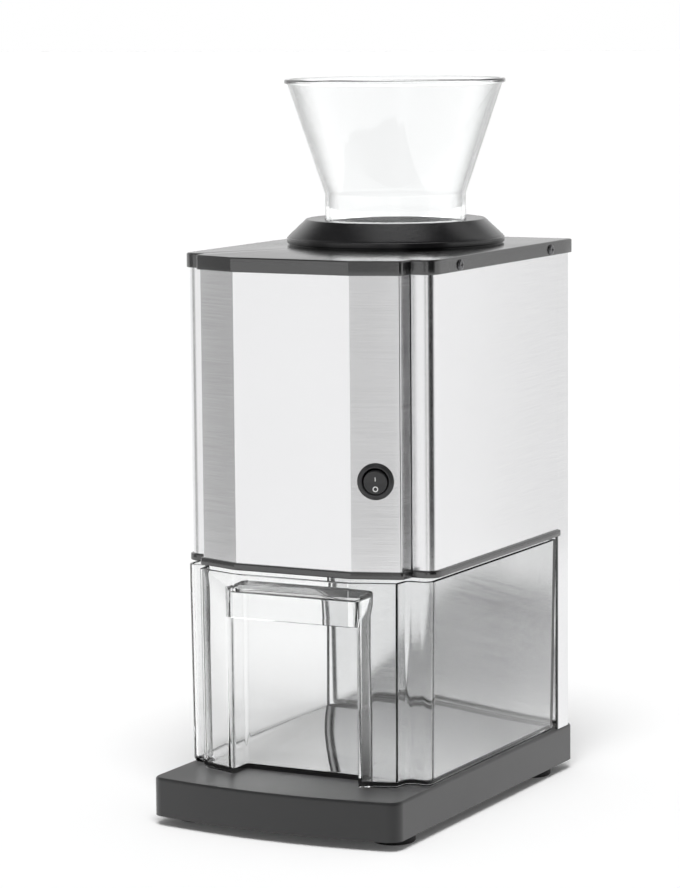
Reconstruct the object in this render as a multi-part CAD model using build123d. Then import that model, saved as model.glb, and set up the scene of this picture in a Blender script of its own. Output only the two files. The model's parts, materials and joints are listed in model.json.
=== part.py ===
from build123d import *
import math
import os

# Countertop ice crusher: a motor head held by a rear column over a clear drawer, with a
# lift-off feed funnel on top. Millimetres, X to the right, Y to the back, Z up. The origin
# is on the table, under the middle of the outline.

# Base
stand_gap = 6.5
base_side_step = 0.1
base_depth = 278.4
base_height = 25.1
base_bow = 9.4
base_front_radius = 9.0
base_rear_radius = 5.0
base_wall = 3.5
base_top_round = 2.0
rib_pitch = 40.0
rib_thickness = 2.0
cover_thickness = 2.5
cover_gap = 0.3
foot_radius = 14.0
foot_recess = 1.0
foot_side_inset = 17.9
foot_front_inset = 38.7
foot_rear_inset = 31.7
foot_round = 1.5
foot_peg_radius = 3.0
foot_peg_length = 4.0
foot_socket_margin = 1.0
foot_socket_depth = 8.0
base_screw_inset = 10.5
base_boss_radius = 5.0
base_screw_length = 18.0

# Head outline, seen from above
body_width = 177.4
post_setback = 62.1
panel_bulge = 22.2
panel_step = 11.75
post_width = 15.7
return_lean = 1.4
chamfer_width = 30.1
post_radius = 7.5
column_inset = 8.3
column_depth = 16.5
trim_overhang = 2.0
panel_seam = 0.5

# Heights, from the base up
drawer_height = 131.8
drawer_headroom = 1.8
frame_thickness = 4.4
head_height = 186.8
skirt_height = 9.4
lid_thickness = 3.0
skirt_wall = 1.8
lid_underside_gap = 0.5
sheet = 1.0
column_sheet = 1.2
rail_width = 17.7
wire_window_width = 44.0
wire_window_height = 20.0
wire_window_drop = 52.0
housing_bolt_spread = 62.0
housing_bolt_low = 27.0
housing_bolt_drop = 28.0
bolt_boss_radius = 7.0
bolt_bite = 14.0
column_screw_rise = 4.8
frame_lip_height = 6.4
frame_lip_width = 2.0
frame_lip_gap = 0.2

# Funnel and its seat
funnel_offset = 90.4
funnel_height = 109.2
funnel_rim_radius = 73.3
rim_bead = 1.0
rim_bead_height = 3.0
neck_radius = 46.8
neck_height = 33.4
funnel_wall = 2.4
seat_gap = 0.3
collar_radius = 72.3
collar_top_radius = 59.5
collar_skirt = 4.8
collar_height = 16.8
collar_round = 1.5
collar_screw_circle = 62.0
collar_screw_gap = 1.0

# Crusher
chamber_wall = 4.0
chamber_corner = 8.0
rotor_drop = 103.8
shaft_radius = 6.0
shaft_fit = 0.05
blade_count = 5
blade_pitch = 14.0
blade_thickness = 4.0
blade_radius = 38.0
blade_root_radius = 15.0
blade_tip_width = 5.0
blade_twist = 24.0
spacer_radius = 12.0
comb_thickness = 4.0
comb_height = 12.0
comb_tip_gap = 2.0
comb_root = 3.0
comb_root_height = 24.0
bearing_boss_radius = 14.0
bearing_radius = 10.0
bearing_boss_length = 8.8
discharge_side = 80.0
flange_thickness = 4.0
flange_reach = 7.0
flange_screw_gap = 0.5
boss_overlap = 1.0
spacer_end_gap = 1.0
shaft_front_overhang = 2.0
shaft_rear_overhang = 4.0
ring_width = 1.5
ring_gap = 0.5
ring_reach = 3.0

# Gear train between two plates in front of the crusher
plate_gap = 21.0
plate_thickness = 3.0
plate_offset = 9.8
plate_width = 92.0
plate_below = 48.0
plate_above = 30.0
slow_module = 1.5
output_teeth = 46
idler_pinion_teeth = 14
slow_face = 10.0
fast_module = 1.0
idler_teeth = 48
motor_pinion_teeth = 12
fast_face = 7.0
gear_clearance = 1.5
pressure_angle = 20.0
tooth_share = 0.46
addendum = 0.8
dedendum = 1.05
motor_rise = 54.0
idler_shaft_radius = 4.0
idler_shaft_inset = 0.3
idler_shaft_overhang = 1.0
idler_shoulder = 2.0
plate_hole_margin = 4.0
gearbox_bolt_bite = 5.0
standoff_radius = 5.0
standoff_inset = 8.0

# Motor
motor_radius = 31.0
motor_can_wall = 1.5
motor_nose_gap = 4.9
motor_shaft_radius = 4.0
motor_shaft_step = 1.0
shaft_overhang = 2.0
end_cap_thickness = 2.0
motor_seat_length = 6.0
cap_seat_length = 4.0
end_cap_holes = 8
end_cap_hole_radius = 3.5
end_cap_hole_circle = 19.2
armature_radius = 19.7
air_gap = 0.8
armature_end_gap = 7.0
fan_radius = 22.0
fan_width = 5.0
fan_gap = 1.0
fan_blades = 8
fan_vane = 1.6

# Switch
switch_height = 227.2
switch_bezel_radius = 11.7
switch_bezel_height = 2.0
switch_bezel_round = 1.4
switch_body_radius = 9.8
switch_body_depth = 20.0
rocker_radius = 7.6
rocker_pocket_radius = 8.3
rocker_pocket_depth = 9.0
rocker_thickness = 5.0
rocker_tilt = 10.0
rocker_pin_radius = 1.0
rocker_pin_reach = 9.0
rocker_sink = 0.5
switch_tab_width = 4.8
switch_tab_thickness = 0.8
switch_tab_length = 8.0
switch_tab_spread = 8.0

# Clear drawer
drawer_lead = 5.5
drawer_draft = 1.2
drawer_rear_gap = 3.2
drawer_rear_draft = 3.2
drawer_wall = 2.5
drawer_floor = 3.0
drawer_foot_round = 3.0
niche_overlap = 3.0
niche_depth = 23.0
niche_drop = 12.0
niche_round = 5.0
grip_height = 16.5

# Cord entry, vents and small electrical pieces
gland_radius = 11.0
gland_barrel_radius = 8.0
gland_bore_radius = 3.8
gland_flange = 3.0
gland_side_inset = 28.7
gland_round = 1.0
gland_z = 60.0
terminal_width = 36.0
terminal_height = 16.0
terminal_depth = 10.0
terminal_x = -12.0
terminal_z = 98.0
terminal_hole_radius = 2.5
terminal_hole_pitch = 12.0
capacitor_length = 42.0
capacitor_width = 26.0
capacitor_height = 22.0
capacitor_side_gap = 8.7
capacitor_setback = 33.0
capacitor_round = 2.0
vent_rows = 9
vent_pitch = 9.0
vent_width = 90.0
vent_height = 3.5
vent_top = 335.0

# Fasteners
screw_radius = 2.0
screw_head_radius = 3.5
screw_head_height = 1.6
bolt_head_height = 3.2
screw_head_gap = 0.2
rear_screw_margin = 0.06
rear_screw_bite = 2.0
lid_screw_front = 35.4
lid_screw_rear = 16.4
lid_screw_drop = 0.7
lid_screw_length = 10.0
over_cut = 1.0
touch = 0.01

# Places that follow from the sizes above
base_front = -base_depth / 2
base_rear = base_depth / 2
body_half = body_width / 2
base_half = body_half - base_side_step
base_bottom = stand_gap
base_top = stand_gap + base_height
return_half = body_half - post_width
step_half = return_half - return_lean
facet_half = step_half - chamfer_width
niche_half = facet_half + niche_overlap
post_face = base_front + post_setback
panel_front = post_face - panel_bulge
drawer_front = panel_front - drawer_lead
body_rear = base_rear - column_inset
column_front = body_rear - column_depth
drawer_top = base_top + drawer_height
frame_bottom = drawer_top + drawer_headroom
frame_top = frame_bottom + frame_thickness
skirt_bottom = frame_top + head_height
lid_top = skirt_bottom + skirt_height
lid_underside = lid_top - lid_thickness
panel_top = lid_underside - lid_underside_gap
funnel_y = base_rear - funnel_offset
throat_radius = neck_radius - funnel_wall
chamber_inner_half = throat_radius
chamber_half = chamber_inner_half + chamber_wall
chamber_front = funnel_y - chamber_half
chamber_rear = funnel_y + chamber_half
rotor_z = lid_top - rotor_drop
rear_plate_back = chamber_front - plate_offset
rear_plate_front = rear_plate_back - plate_thickness
front_plate_back = rear_plate_front - plate_gap
front_plate_front = front_plate_back - plate_thickness
motor_z = rotor_z + motor_rise
slow_centre = slow_module * (output_teeth + idler_pinion_teeth) / 2
fast_centre = fast_module * (idler_teeth + motor_pinion_teeth) / 2
idler_rise = (slow_centre**2 - fast_centre**2 + motor_rise**2) / (2 * motor_rise)
idler_x = -math.sqrt(slow_centre**2 - idler_rise**2)
idler_z = rotor_z + idler_rise
slow_back = rear_plate_front - gear_clearance
slow_front = slow_back - slow_face
fast_front = front_plate_back + gear_clearance
fast_back = fast_front + fast_face
standoff_x = plate_width / 2 - standoff_inset
standoff_low = rotor_z - plate_below + standoff_inset
standoff_high = motor_z + plate_above - standoff_inset
motor_rear = front_plate_front
fan_front = panel_front + sheet + motor_nose_gap + shaft_overhang - fan_gap
fan_back = fan_front + fan_width
motor_front = fan_back + fan_gap + end_cap_thickness
motor_shaft_front = fan_front - shaft_overhang + fan_gap
armature_front = motor_front + armature_end_gap
armature_rear = motor_rear - armature_end_gap
facet_angle = math.degrees(math.atan2(panel_bulge - panel_step, chamfer_width))
gland_x = body_half - gland_side_inset
capacitor_x = capacitor_side_gap + capacitor_length / 2 - body_half
foot_half = base_half - foot_side_inset


# Shared helpers

def box(x0, x1, y0, y1, z0, z1):
    """A box between two corners."""
    middle = Pos((x0 + x1) / 2, (y0 + y1) / 2, (z0 + z1) / 2)
    return middle * Box(x1 - x0, y1 - y0, z1 - z0)


def rod_x(radius, x0, x1, y, z):
    """A cylinder along X."""
    return Pos((x0 + x1) / 2, y, z) * Rot(0, 90, 0) * Cylinder(radius, x1 - x0)


def rod_y(radius, y0, y1, x, z):
    """A cylinder along Y."""
    return Pos(x, (y0 + y1) / 2, z) * Rot(90, 0, 0) * Cylinder(radius, y1 - y0)


def rod_z(radius, z0, z1, x, y):
    """A cylinder along Z."""
    return Pos(x, y, (z0 + z1) / 2) * Cylinder(radius, z1 - z0)


def add_all(solids):
    """One shape made of several that touch or overlap."""
    whole = solids[0]
    for solid in solids[1:]:
        whole = whole + solid
    return whole


def cut_all(solid, cutters):
    """The solid less each cutter in turn."""
    for cutter in cutters:
        solid = solid - cutter
    return solid


def grow_polygon(points, distance):
    """A closed anticlockwise polygon moved outward by a distance on every side."""
    lines = []
    for start, end in zip(points, points[1:] + points[:1]):
        run = math.hypot(end[0] - start[0], end[1] - start[1])
        along = ((end[0] - start[0]) / run, (end[1] - start[1]) / run)
        out = (along[1], -along[0])
        lines.append(((start[0] + out[0] * distance, start[1] + out[1] * distance), along))
    grown = []
    for (first, first_way), (second, second_way) in zip(lines[-1:] + lines[:-1], lines):
        cross = first_way[0] * second_way[1] - first_way[1] * second_way[0]
        gap = (second[0] - first[0], second[1] - first[1])
        reach = (gap[0] * second_way[1] - gap[1] * second_way[0]) / cross
        grown.append((first[0] + first_way[0] * reach, first[1] + first_way[1] * reach))
    return grown


def head_outline(grow, rear):
    """The head seen from above: three front facets, stepped corner posts, straight sides."""
    right = [
        (facet_half, panel_front),
        (step_half, panel_front + panel_bulge - panel_step),
        (return_half, post_face),
        (body_half, post_face),
        (body_half, rear - grow),
    ]
    left = [(-x, y) for x, y in reversed(right)]
    face = make_face(Polyline(*grow_polygon(right + left, grow), close=True))
    front = post_face - grow + touch
    corners = [v for v in face.vertices() if abs(v.X) > body_half + grow - touch and v.Y < front]
    return fillet(corners, post_radius + grow)


def head_block(grow, rear, z0, z1):
    """The head outline raised from one height to another."""
    return Pos(0, 0, z0) * extrude(head_outline(grow, rear), amount=z1 - z0)


# Base

def base_outline(inset):
    """The base seen from above, with its bowed front."""
    half = base_half - inset
    rear = base_rear - inset
    corner_y = base_front + base_bow + inset
    front = ThreePointArc((-half, corner_y), (0, base_front + inset), (half, corner_y))
    sides = Polyline((half, corner_y), (half, rear), (-half, rear), (-half, corner_y))
    face = make_face([front, sides])
    front_corners = [v for v in face.vertices() if v.Y < 0]
    face = fillet(front_corners, base_front_radius - inset)
    rear_corners = [v for v in face.vertices() if v.Y > rear - touch]
    return fillet(rear_corners, base_rear_radius - inset)


def foot_places():
    """The centre of each foot, with its node name."""
    front = base_front + foot_front_inset
    rear = base_rear - foot_rear_inset
    places = []
    for side, x in (("left", -foot_half), ("right", foot_half)):
        places.append(("foot_front_" + side, x, front))
        places.append(("foot_rear_" + side, x, rear))
    return places


def base_screw_places():
    """Cover screws near the corners and halfway along the sides."""
    x = base_half - base_screw_inset
    front = base_front + base_bow + base_screw_inset
    rear = base_rear - base_screw_inset
    return [(side * x, y) for side in (-1, 1) for y in (front, (front + rear) / 2, rear)]


def column_screw_places():
    """Screws that tie the column's feet to the base."""
    return [(side * (body_half - rail_width / 2), column_front + column_depth / 2) for side in (-1, 1)]


def make_base_plate():
    """Moulded base with a ribbed underside."""
    outer = Pos(0, 0, base_bottom) * extrude(base_outline(0), amount=base_height)
    outer = fillet(outer.edges().group_by(Axis.Z)[-1], base_top_round)
    inner_height = base_height - base_wall
    inner = Pos(0, 0, base_bottom) * extrude(base_outline(base_wall), amount=inner_height)
    shell = outer - inner
    rib_bottom = base_bottom + cover_thickness
    rib_top = base_top - base_wall
    ribs = []
    for step in range(int(base_half // rib_pitch) * 2 + 1):
        x = (step - base_half // rib_pitch) * rib_pitch
        ribs.append(box(x - rib_thickness / 2, x + rib_thickness / 2, base_front, base_rear,
                        rib_bottom, rib_top))
    for step in range(int(base_rear // rib_pitch) * 2 + 1):
        y = (step - base_rear // rib_pitch) * rib_pitch
        ribs.append(box(-base_half, base_half, y - rib_thickness / 2, y + rib_thickness / 2,
                        rib_bottom, rib_top))
    ribs += [rod_z(base_boss_radius, rib_bottom, rib_top, x, y) for x, y in base_screw_places()]
    plate = shell + (add_all(ribs) & inner)
    screw_tip = base_bottom + base_screw_length
    holes = [rod_z(screw_radius, base_bottom, screw_tip, x, y) for x, y in base_screw_places()]
    for x, y in column_screw_places():
        holes.append(rod_z(2 * screw_head_radius, base_bottom, rib_top, x, y))
        holes.append(rod_z(screw_radius, base_bottom, base_top + over_cut, x, y))
    for name, x, y in foot_places():
        holes.append(rod_z(foot_peg_radius + foot_socket_margin, base_bottom,
                           base_bottom + foot_socket_depth, x, y))
    return cut_all(plate, holes)


def make_base_cover():
    """Flat cover let into the underside of the base."""
    cover = Pos(0, 0, base_bottom) * extrude(base_outline(base_wall + cover_gap), amount=cover_thickness)
    cutters = []
    for x, y in base_screw_places():
        cutters.append(rod_z(screw_radius, base_bottom, base_bottom + cover_thickness, x, y))
        cutters.append(rod_z(screw_head_radius + screw_head_gap, base_bottom,
                             base_bottom + screw_head_height, x, y))
    for name, x, y in foot_places():
        cutters.append(rod_z(foot_radius + screw_head_gap, base_bottom, base_bottom + foot_recess, x, y))
        cutters.append(rod_z(foot_peg_radius, base_bottom, base_bottom + cover_thickness, x, y))
    return cut_all(cover, cutters)


def make_base_screws():
    """Screws that hold the cover, heads sunk in it."""
    screws = []
    for x, y in base_screw_places():
        head = rod_z(screw_head_radius, base_bottom, base_bottom + screw_head_height, x, y)
        shank = rod_z(screw_radius, base_bottom, base_bottom + base_screw_length, x, y)
        screws.append(head + shank)
    return screws


def make_foot(x, y):
    """Rubber foot with a peg through the cover."""
    pad_top = base_bottom + foot_recess
    pad = rod_z(foot_radius, 0, pad_top, x, y)
    pad = fillet(pad.edges().group_by(Axis.Z)[0], foot_round)
    return pad + rod_z(foot_peg_radius, pad_top, pad_top + foot_peg_length, x, y)


# Column

def rear_panel_front():
    """The plane where the rear panel lies on the rails."""
    return body_rear - column_sheet


def housing_bolt_places():
    """Bolts from the column into the crusher housing, as X and Z."""
    heights = (frame_top + housing_bolt_low, lid_underside - housing_bolt_drop)
    return [(side * housing_bolt_spread / 2, z) for side in (-1, 1) for z in heights]


def make_column_web():
    """Flat inner wall of the column, behind the drawer and the head."""
    web = box(-body_half, body_half, column_front, column_front + column_sheet, base_top, panel_top)
    half = wire_window_width / 2
    window_top = panel_top - wire_window_drop
    window = box(-half, half, column_front, column_front + column_sheet,
                 window_top - wire_window_height, window_top)
    bolts = [rod_y(screw_radius, column_front, column_front + column_sheet, x, z)
             for x, z in housing_bolt_places()]
    return cut_all(web, [window] + bolts)


def make_column_rail(side):
    """Folded rail at one side, closed by a foot on the base."""
    front = column_front + column_sheet
    back = rear_panel_front()
    outer = body_half
    inner = body_half - rail_width
    z0 = base_top
    wall = box(outer - column_sheet, outer, front, back, z0, panel_top)
    lip = box(inner, outer, back - column_sheet, back, z0, panel_top)
    flange = box(inner, outer, front, front + column_sheet, z0, panel_top)
    foot = box(inner, outer, front, back, z0, z0 + column_sheet)
    rail = wall + lip + flange + foot
    for x, y in column_screw_places():
        rail = rail - rod_z(screw_radius, z0, z0 + column_sheet, abs(x), y)
    for x, z in rear_screw_places():
        rail = rail - rod_y(screw_radius, back - column_sheet, back, abs(x), z)
    return rail if side > 0 else mirror(rail, Plane.YZ)


def rear_screw_places():
    """Screws of the rear panel, as X and Z."""
    x = body_half - rail_width / 2
    span = panel_top - base_top
    shares = (rear_screw_margin, 0.5, 1 - rear_screw_margin)
    return [(side * x, base_top + span * share) for side in (-1, 1) for share in shares]


def make_rear_panel():
    """Removable rear panel with vent slots and the cord hole."""
    back = body_rear
    front = rear_panel_front()
    panel = box(-body_half, body_half, front, back, base_top, panel_top)
    slots = []
    for row in range(vent_rows):
        z = vent_top - row * vent_pitch
        straight = vent_width / 2 - vent_height / 2
        slot = box(-straight, straight, front, back, z - vent_height / 2, z + vent_height / 2)
        slots.append(slot + rod_y(vent_height / 2, front, back, straight, z)
                     + rod_y(vent_height / 2, front, back, -straight, z))
    holes = [rod_y(screw_radius, front, back, x, z) for x, z in rear_screw_places()]
    cord_hole = rod_y(gland_barrel_radius, front, back, gland_x, gland_z)
    return cut_all(panel, slots + holes + [cord_hole])


def make_rear_screws():
    """Pan-head screws of the rear panel."""
    back = body_rear
    tip = rear_panel_front() - 2 * column_sheet - rear_screw_bite
    screws = []
    for x, z in rear_screw_places():
        screws.append(rod_y(screw_head_radius, back, back + screw_head_height, x, z)
                      + rod_y(screw_radius, tip, back, x, z))
    return screws


def make_column_screws():
    """Bolts that tie the column's feet down, heads under the base top."""
    under = base_top - base_wall
    screws = []
    for x, y in column_screw_places():
        head = rod_z(screw_head_radius, under - bolt_head_height, under, x, y)
        screws.append(head + rod_z(screw_radius, under, base_top + column_screw_rise, x, y))
    return screws


def make_housing_bolts():
    """Bolts from the column's inner wall into the crusher housing."""
    back = column_front + column_sheet
    bolts = []
    for x, z in housing_bolt_places():
        bolts.append(rod_y(screw_head_radius, back, back + bolt_head_height, x, z)
                     + rod_y(screw_radius, column_front - bolt_bite, back, x, z))
    return bolts


def make_cord_gland():
    """Cord bushing in the rear panel, with an empty bore."""
    back = body_rear
    inside = rear_panel_front()
    flange = rod_y(gland_radius, back, back + gland_flange, gland_x, gland_z)
    flange = fillet(flange.edges().group_by(Axis.Y)[-1], gland_round)
    barrel = rod_y(gland_barrel_radius, inside, back, gland_x, gland_z)
    nut = rod_y(gland_radius, inside - gland_flange, inside, gland_x, gland_z)
    bore = rod_y(gland_bore_radius, inside - gland_flange, back + gland_flange, gland_x, gland_z)
    return flange + barrel + nut - bore


# Head shell

def make_bottom_frame():
    """Dark trim frame that carries the head's panels, with the discharge opening."""
    frame = head_block(trim_overhang, column_front, frame_bottom, frame_top)
    grow = -sheet - frame_lip_gap
    lip_top = frame_top + frame_lip_height
    lip = (head_block(grow, column_front, frame_top, lip_top)
           - head_block(grow - frame_lip_width, column_front + frame_lip_width, frame_top, lip_top))
    half = discharge_side / 2
    opening = box(-half, half, funnel_y - half, funnel_y + half, frame_bottom, frame_top)
    bolts = [rod_z(screw_radius, frame_bottom, frame_top, x, y) for x, y in flange_screw_places()]
    return cut_all(frame + lip, [opening] + bolts)


def head_sheet():
    """The head's sheet outline between the trim frame and the lid."""
    rear = column_front + 2 * sheet
    return (head_block(0, rear, frame_top, panel_top)
            - head_block(-sheet, rear + sheet, frame_top, panel_top))


def switch_plane():
    """The plane of the right front facet, centred on the switch."""
    x = (facet_half + step_half) / 2
    y = panel_front + (panel_bulge - panel_step) / 2
    along = math.radians(facet_angle)
    return Plane(origin=(x, y, switch_height), x_dir=(math.cos(along), math.sin(along), 0),
                 z_dir=(math.sin(along), -math.cos(along), 0))


def make_front_panel():
    """Three-facet front panel with its returns and the switch hole."""
    half = return_half
    front = head_sheet() & box(-half, half, panel_front - over_cut, post_face + sheet,
                               frame_top, panel_top)
    hole = switch_plane() * Cylinder(switch_body_radius, 4 * sheet)
    return front - hole


def make_side_panel(side):
    """Side panel that wraps round the corner post."""
    inner = return_half + panel_seam
    region = box(inner, body_half + over_cut, panel_front, column_front, frame_top, panel_top)
    panel = head_sheet() & region
    for y in lid_screw_places():
        panel = panel - rod_x(screw_radius, body_half - 2 * sheet, body_half + over_cut, y, lid_screw_z())
    return panel if side > 0 else mirror(panel, Plane.YZ)


def lid_screw_places():
    """Y of the screws in each side of the lid."""
    return (post_face + lid_screw_front, column_front - lid_screw_rear)


def lid_screw_z():
    """Height of the lid's screws."""
    return skirt_bottom + skirt_height / 2 - lid_screw_drop


def make_top_cover():
    """Lid with a skirt over the panels and the feed opening."""
    rear = body_rear + trim_overhang
    outer = head_block(trim_overhang, rear, skirt_bottom, lid_top)
    inside = trim_overhang - skirt_wall
    hollow = head_block(inside, rear - skirt_wall, skirt_bottom, lid_underside)
    throat = rod_z(throat_radius, lid_underside, lid_top, 0, funnel_y)
    cutters = [hollow, throat]
    for y in lid_screw_places():
        reach = body_half + trim_overhang + over_cut
        cutters.append(rod_x(screw_radius, -reach, reach, y, lid_screw_z()))
    for x, y in collar_screw_places():
        cutters.append(rod_z(screw_radius, lid_underside, lid_top, x, y))
    return cut_all(outer, cutters)


def make_lid_screws():
    """Screws in the lid's skirt, two on each side."""
    face = body_half + trim_overhang
    screws = []
    for side in (-1, 1):
        for y in lid_screw_places():
            head = rod_x(screw_head_radius, face, face + screw_head_height, y, lid_screw_z())
            head = fillet(head.edges().group_by(Axis.X)[-1], screw_head_height / 2)
            shank = rod_x(screw_radius, face - lid_screw_length, face, y, lid_screw_z())
            screw = head + shank
            screws.append(screw if side > 0 else mirror(screw, Plane.YZ))
    return screws


# Funnel and its seat

def collar_screw_places():
    """Screws up through the lid into the collar."""
    turns = [math.radians(120 * step - 90) for step in range(3)]
    return [(collar_screw_circle * math.cos(turn), funnel_y + collar_screw_circle * math.sin(turn))
            for turn in turns]


def make_collar():
    """Conical collar that the funnel's neck stands in."""
    bore = neck_radius + seat_gap
    profile = Polyline((bore, 0), (collar_radius, 0), (collar_radius, collar_skirt),
                       (collar_top_radius, collar_height), (bore, collar_height), close=True)
    ring = revolve(make_face(Plane.XZ * profile), Axis.Z)
    outer = [e for e in ring.edges() if e.bounding_box().max.X > bore + touch and e.bounding_box().min.Z > touch]
    ring = fillet(outer, collar_round)
    ring = Pos(0, funnel_y, lid_top) * ring
    depth = collar_height / 2
    return cut_all(ring, [rod_z(screw_radius, lid_top, lid_top + depth, x, y)
                          for x, y in collar_screw_places()])


def make_collar_screws():
    """Screws that hold the collar, heads under the lid."""
    screws = []
    for x, y in collar_screw_places():
        head = rod_z(screw_head_radius, lid_underside - screw_head_height, lid_underside, x, y)
        screws.append(head + rod_z(screw_radius, lid_underside, lid_top + collar_height / 2 - collar_screw_gap,
                                    x, y))
    return screws


def make_funnel():
    """Clear feed funnel with a straight neck and a small rim bead."""
    shoulder = neck_height
    mouth = funnel_rim_radius - rim_bead
    slope = (mouth - neck_radius) / (funnel_height - shoulder)
    bead_foot = neck_radius + slope * (funnel_height - rim_bead_height - shoulder)
    profile = Polyline(
        (neck_radius, 0), (neck_radius, shoulder), (bead_foot, funnel_height - rim_bead_height),
        (funnel_rim_radius, funnel_height - rim_bead_height), (funnel_rim_radius, funnel_height),
        (mouth - funnel_wall, funnel_height), (throat_radius, shoulder + slope), (throat_radius, 0),
        close=True)
    return Pos(0, funnel_y, lid_top) * revolve(make_face(Plane.XZ * profile), Axis.Z)


# Crusher

def blade_places():
    """Y of each blade's middle."""
    first = funnel_y - blade_pitch * (blade_count - 1) / 2
    return [first + blade_pitch * step for step in range(blade_count)]


def comb_places():
    """Y of each fixed tooth's middle, between and outside the blades."""
    first = funnel_y - blade_pitch * blade_count / 2
    return [first + blade_pitch * step for step in range(blade_count + 1)]


def flange_screw_places():
    """Screws of the housing's foot flange."""
    x = chamber_half + flange_reach / 2
    return [(side * x, funnel_y + end * (chamber_half - flange_reach)) for side in (-1, 1) for end in (-1, 1)]


def make_crusher_housing():
    """Cast square tube with bearing bosses, legs for the gear plates and a foot flange."""
    half = chamber_half
    tube = box(-half, half, chamber_front, chamber_rear, frame_top, lid_underside)
    tube = fillet(tube.edges().filter_by(Axis.Z), chamber_corner)
    flange = box(-half - flange_reach, half + flange_reach, chamber_front, chamber_rear,
                 frame_top, frame_top + flange_thickness)
    pieces = [tube, flange]
    pieces.append(rod_y(bearing_boss_radius, chamber_front - bearing_boss_length,
                        chamber_front + boss_overlap, 0, rotor_z))
    pieces.append(rod_y(bearing_boss_radius, chamber_rear - boss_overlap,
                        chamber_rear + bearing_boss_length, 0, rotor_z))
    for x in (-standoff_x, standoff_x):
        for z in (standoff_low, standoff_high):
            pieces.append(rod_y(standoff_radius, rear_plate_back, chamber_front + boss_overlap, x, z))
    for x, z in housing_bolt_places():
        pieces.append(rod_y(bolt_boss_radius, chamber_rear - boss_overlap, column_front, x, z))
    inner = chamber_inner_half
    passage = box(-inner, inner, funnel_y - inner, funnel_y + inner, frame_top, lid_underside)
    cutters = [passage, rod_y(bearing_radius, chamber_front - bearing_boss_length,
                              chamber_rear + bearing_boss_length, 0, rotor_z)]
    for x, y in flange_screw_places():
        cutters.append(rod_z(screw_radius, frame_top, frame_top + flange_thickness, x, y))
    for x, z in housing_bolt_places():
        cutters.append(rod_y(screw_radius, column_front - bolt_bite - over_cut, column_front, x, z))
    for x in (-standoff_x, standoff_x):
        for z in (standoff_low, standoff_high):
            cutters.append(rod_y(screw_radius, rear_plate_back, chamber_front - boss_overlap, x, z))
    for y in comb_screw_places():
        cutters.append(rod_x(screw_radius, -half, -inner, y, rotor_z))
    return cut_all(add_all(pieces), cutters)


def comb_screw_places():
    """Y of the fixed comb's screws, in line with two of its teeth."""
    return (comb_places()[1], comb_places()[-2])


def make_fixed_comb():
    """Fixed comb that the blades pass through."""
    wall = -chamber_inner_half
    reach = blade_pitch * blade_count / 2 + comb_thickness
    root = box(wall, wall + comb_root, funnel_y - reach, funnel_y + reach,
               rotor_z - comb_root_height / 2, rotor_z + comb_root_height / 2)
    teeth = [box(wall, -spacer_radius - comb_tip_gap, y - comb_thickness / 2, y + comb_thickness / 2,
                 rotor_z - comb_height / 2, rotor_z + comb_height / 2) for y in comb_places()]
    holes = [rod_x(screw_radius, wall, wall + comb_root, y, rotor_z) for y in comb_screw_places()]
    return cut_all(add_all([root] + teeth), holes)


def make_comb_screws():
    """Screws that hold the comb from outside the housing."""
    outside = -chamber_half
    tip = -chamber_inner_half + comb_root
    return [rod_x(screw_head_radius, outside - bolt_head_height, outside, y, rotor_z)
            + rod_x(screw_radius, outside, tip, y, rotor_z) for y in comb_screw_places()]


def make_flange_screws():
    """Screws of the housing's foot flange, into the trim frame."""
    top = frame_top + flange_thickness
    return [rod_z(screw_head_radius, top, top + bolt_head_height, x, y)
            + rod_z(screw_radius, frame_bottom + flange_screw_gap, top, x, y) for x, y in flange_screw_places()]


def make_bearing(y0, y1):
    """Plain bearing bush round the crusher shaft."""
    return rod_y(bearing_radius, y0, y1, 0, rotor_z) - rod_y(shaft_radius + shaft_fit, y0, y1, 0, rotor_z)


def make_blade(index):
    """Three-pointed crushing blade, turned a little from its neighbour."""
    points = []
    half_tip = blade_tip_width / 2
    for arm in range(3):
        turn = math.radians(120 * arm + blade_twist * index)
        out = (math.cos(turn), math.sin(turn))
        side = (-out[1], out[0])
        tip = math.sqrt(blade_radius**2 - half_tip**2)
        points.append((out[0] * tip - side[0] * half_tip, out[1] * tip - side[1] * half_tip))
        points.append((out[0] * tip + side[0] * half_tip, out[1] * tip + side[1] * half_tip))
        mid = turn + math.radians(60)
        points.append((math.cos(mid) * blade_root_radius, math.sin(mid) * blade_root_radius))
    face = make_face(Polyline(*points, close=True))
    blade = extrude(face, amount=blade_thickness) - Cylinder(shaft_radius, 3 * blade_thickness)
    y = blade_places()[index] + blade_thickness / 2
    return Pos(0, y, rotor_z) * Rot(90, 0, 0) * blade


def spacer_spans():
    """Y from and to of each spacer ring on the shaft."""
    edges = [chamber_front + chamber_wall + spacer_end_gap]
    for y in blade_places():
        edges += [y - blade_thickness / 2, y + blade_thickness / 2]
    edges.append(chamber_rear - chamber_wall - spacer_end_gap)
    return list(zip(edges[0::2], edges[1::2]))


def make_spacers():
    """Spacer rings between the blades and at both ends."""
    return [rod_y(spacer_radius, y0, y1, 0, rotor_z) - rod_y(shaft_radius, y0, y1, 0, rotor_z)
            for y0, y1 in spacer_spans()]


def make_crusher_shaft():
    """Shaft through both bearings, with the output gear's seat in front."""
    rear = chamber_rear + bearing_boss_length + shaft_rear_overhang
    return rod_y(shaft_radius, slow_front - shaft_front_overhang, rear, 0, rotor_z)


def make_shaft_rings():
    """Retaining rings at the two ends of the crusher shaft."""
    rear = chamber_rear + bearing_boss_length + ring_gap
    rings = []
    for y0, y1 in ((slow_front - ring_width, slow_front), (rear, rear + ring_width)):
        rings.append(rod_y(shaft_radius + ring_reach, y0, y1, 0, rotor_z)
                     - rod_y(shaft_radius, y0, y1, 0, rotor_z))
    return rings


# Gear train

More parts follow.
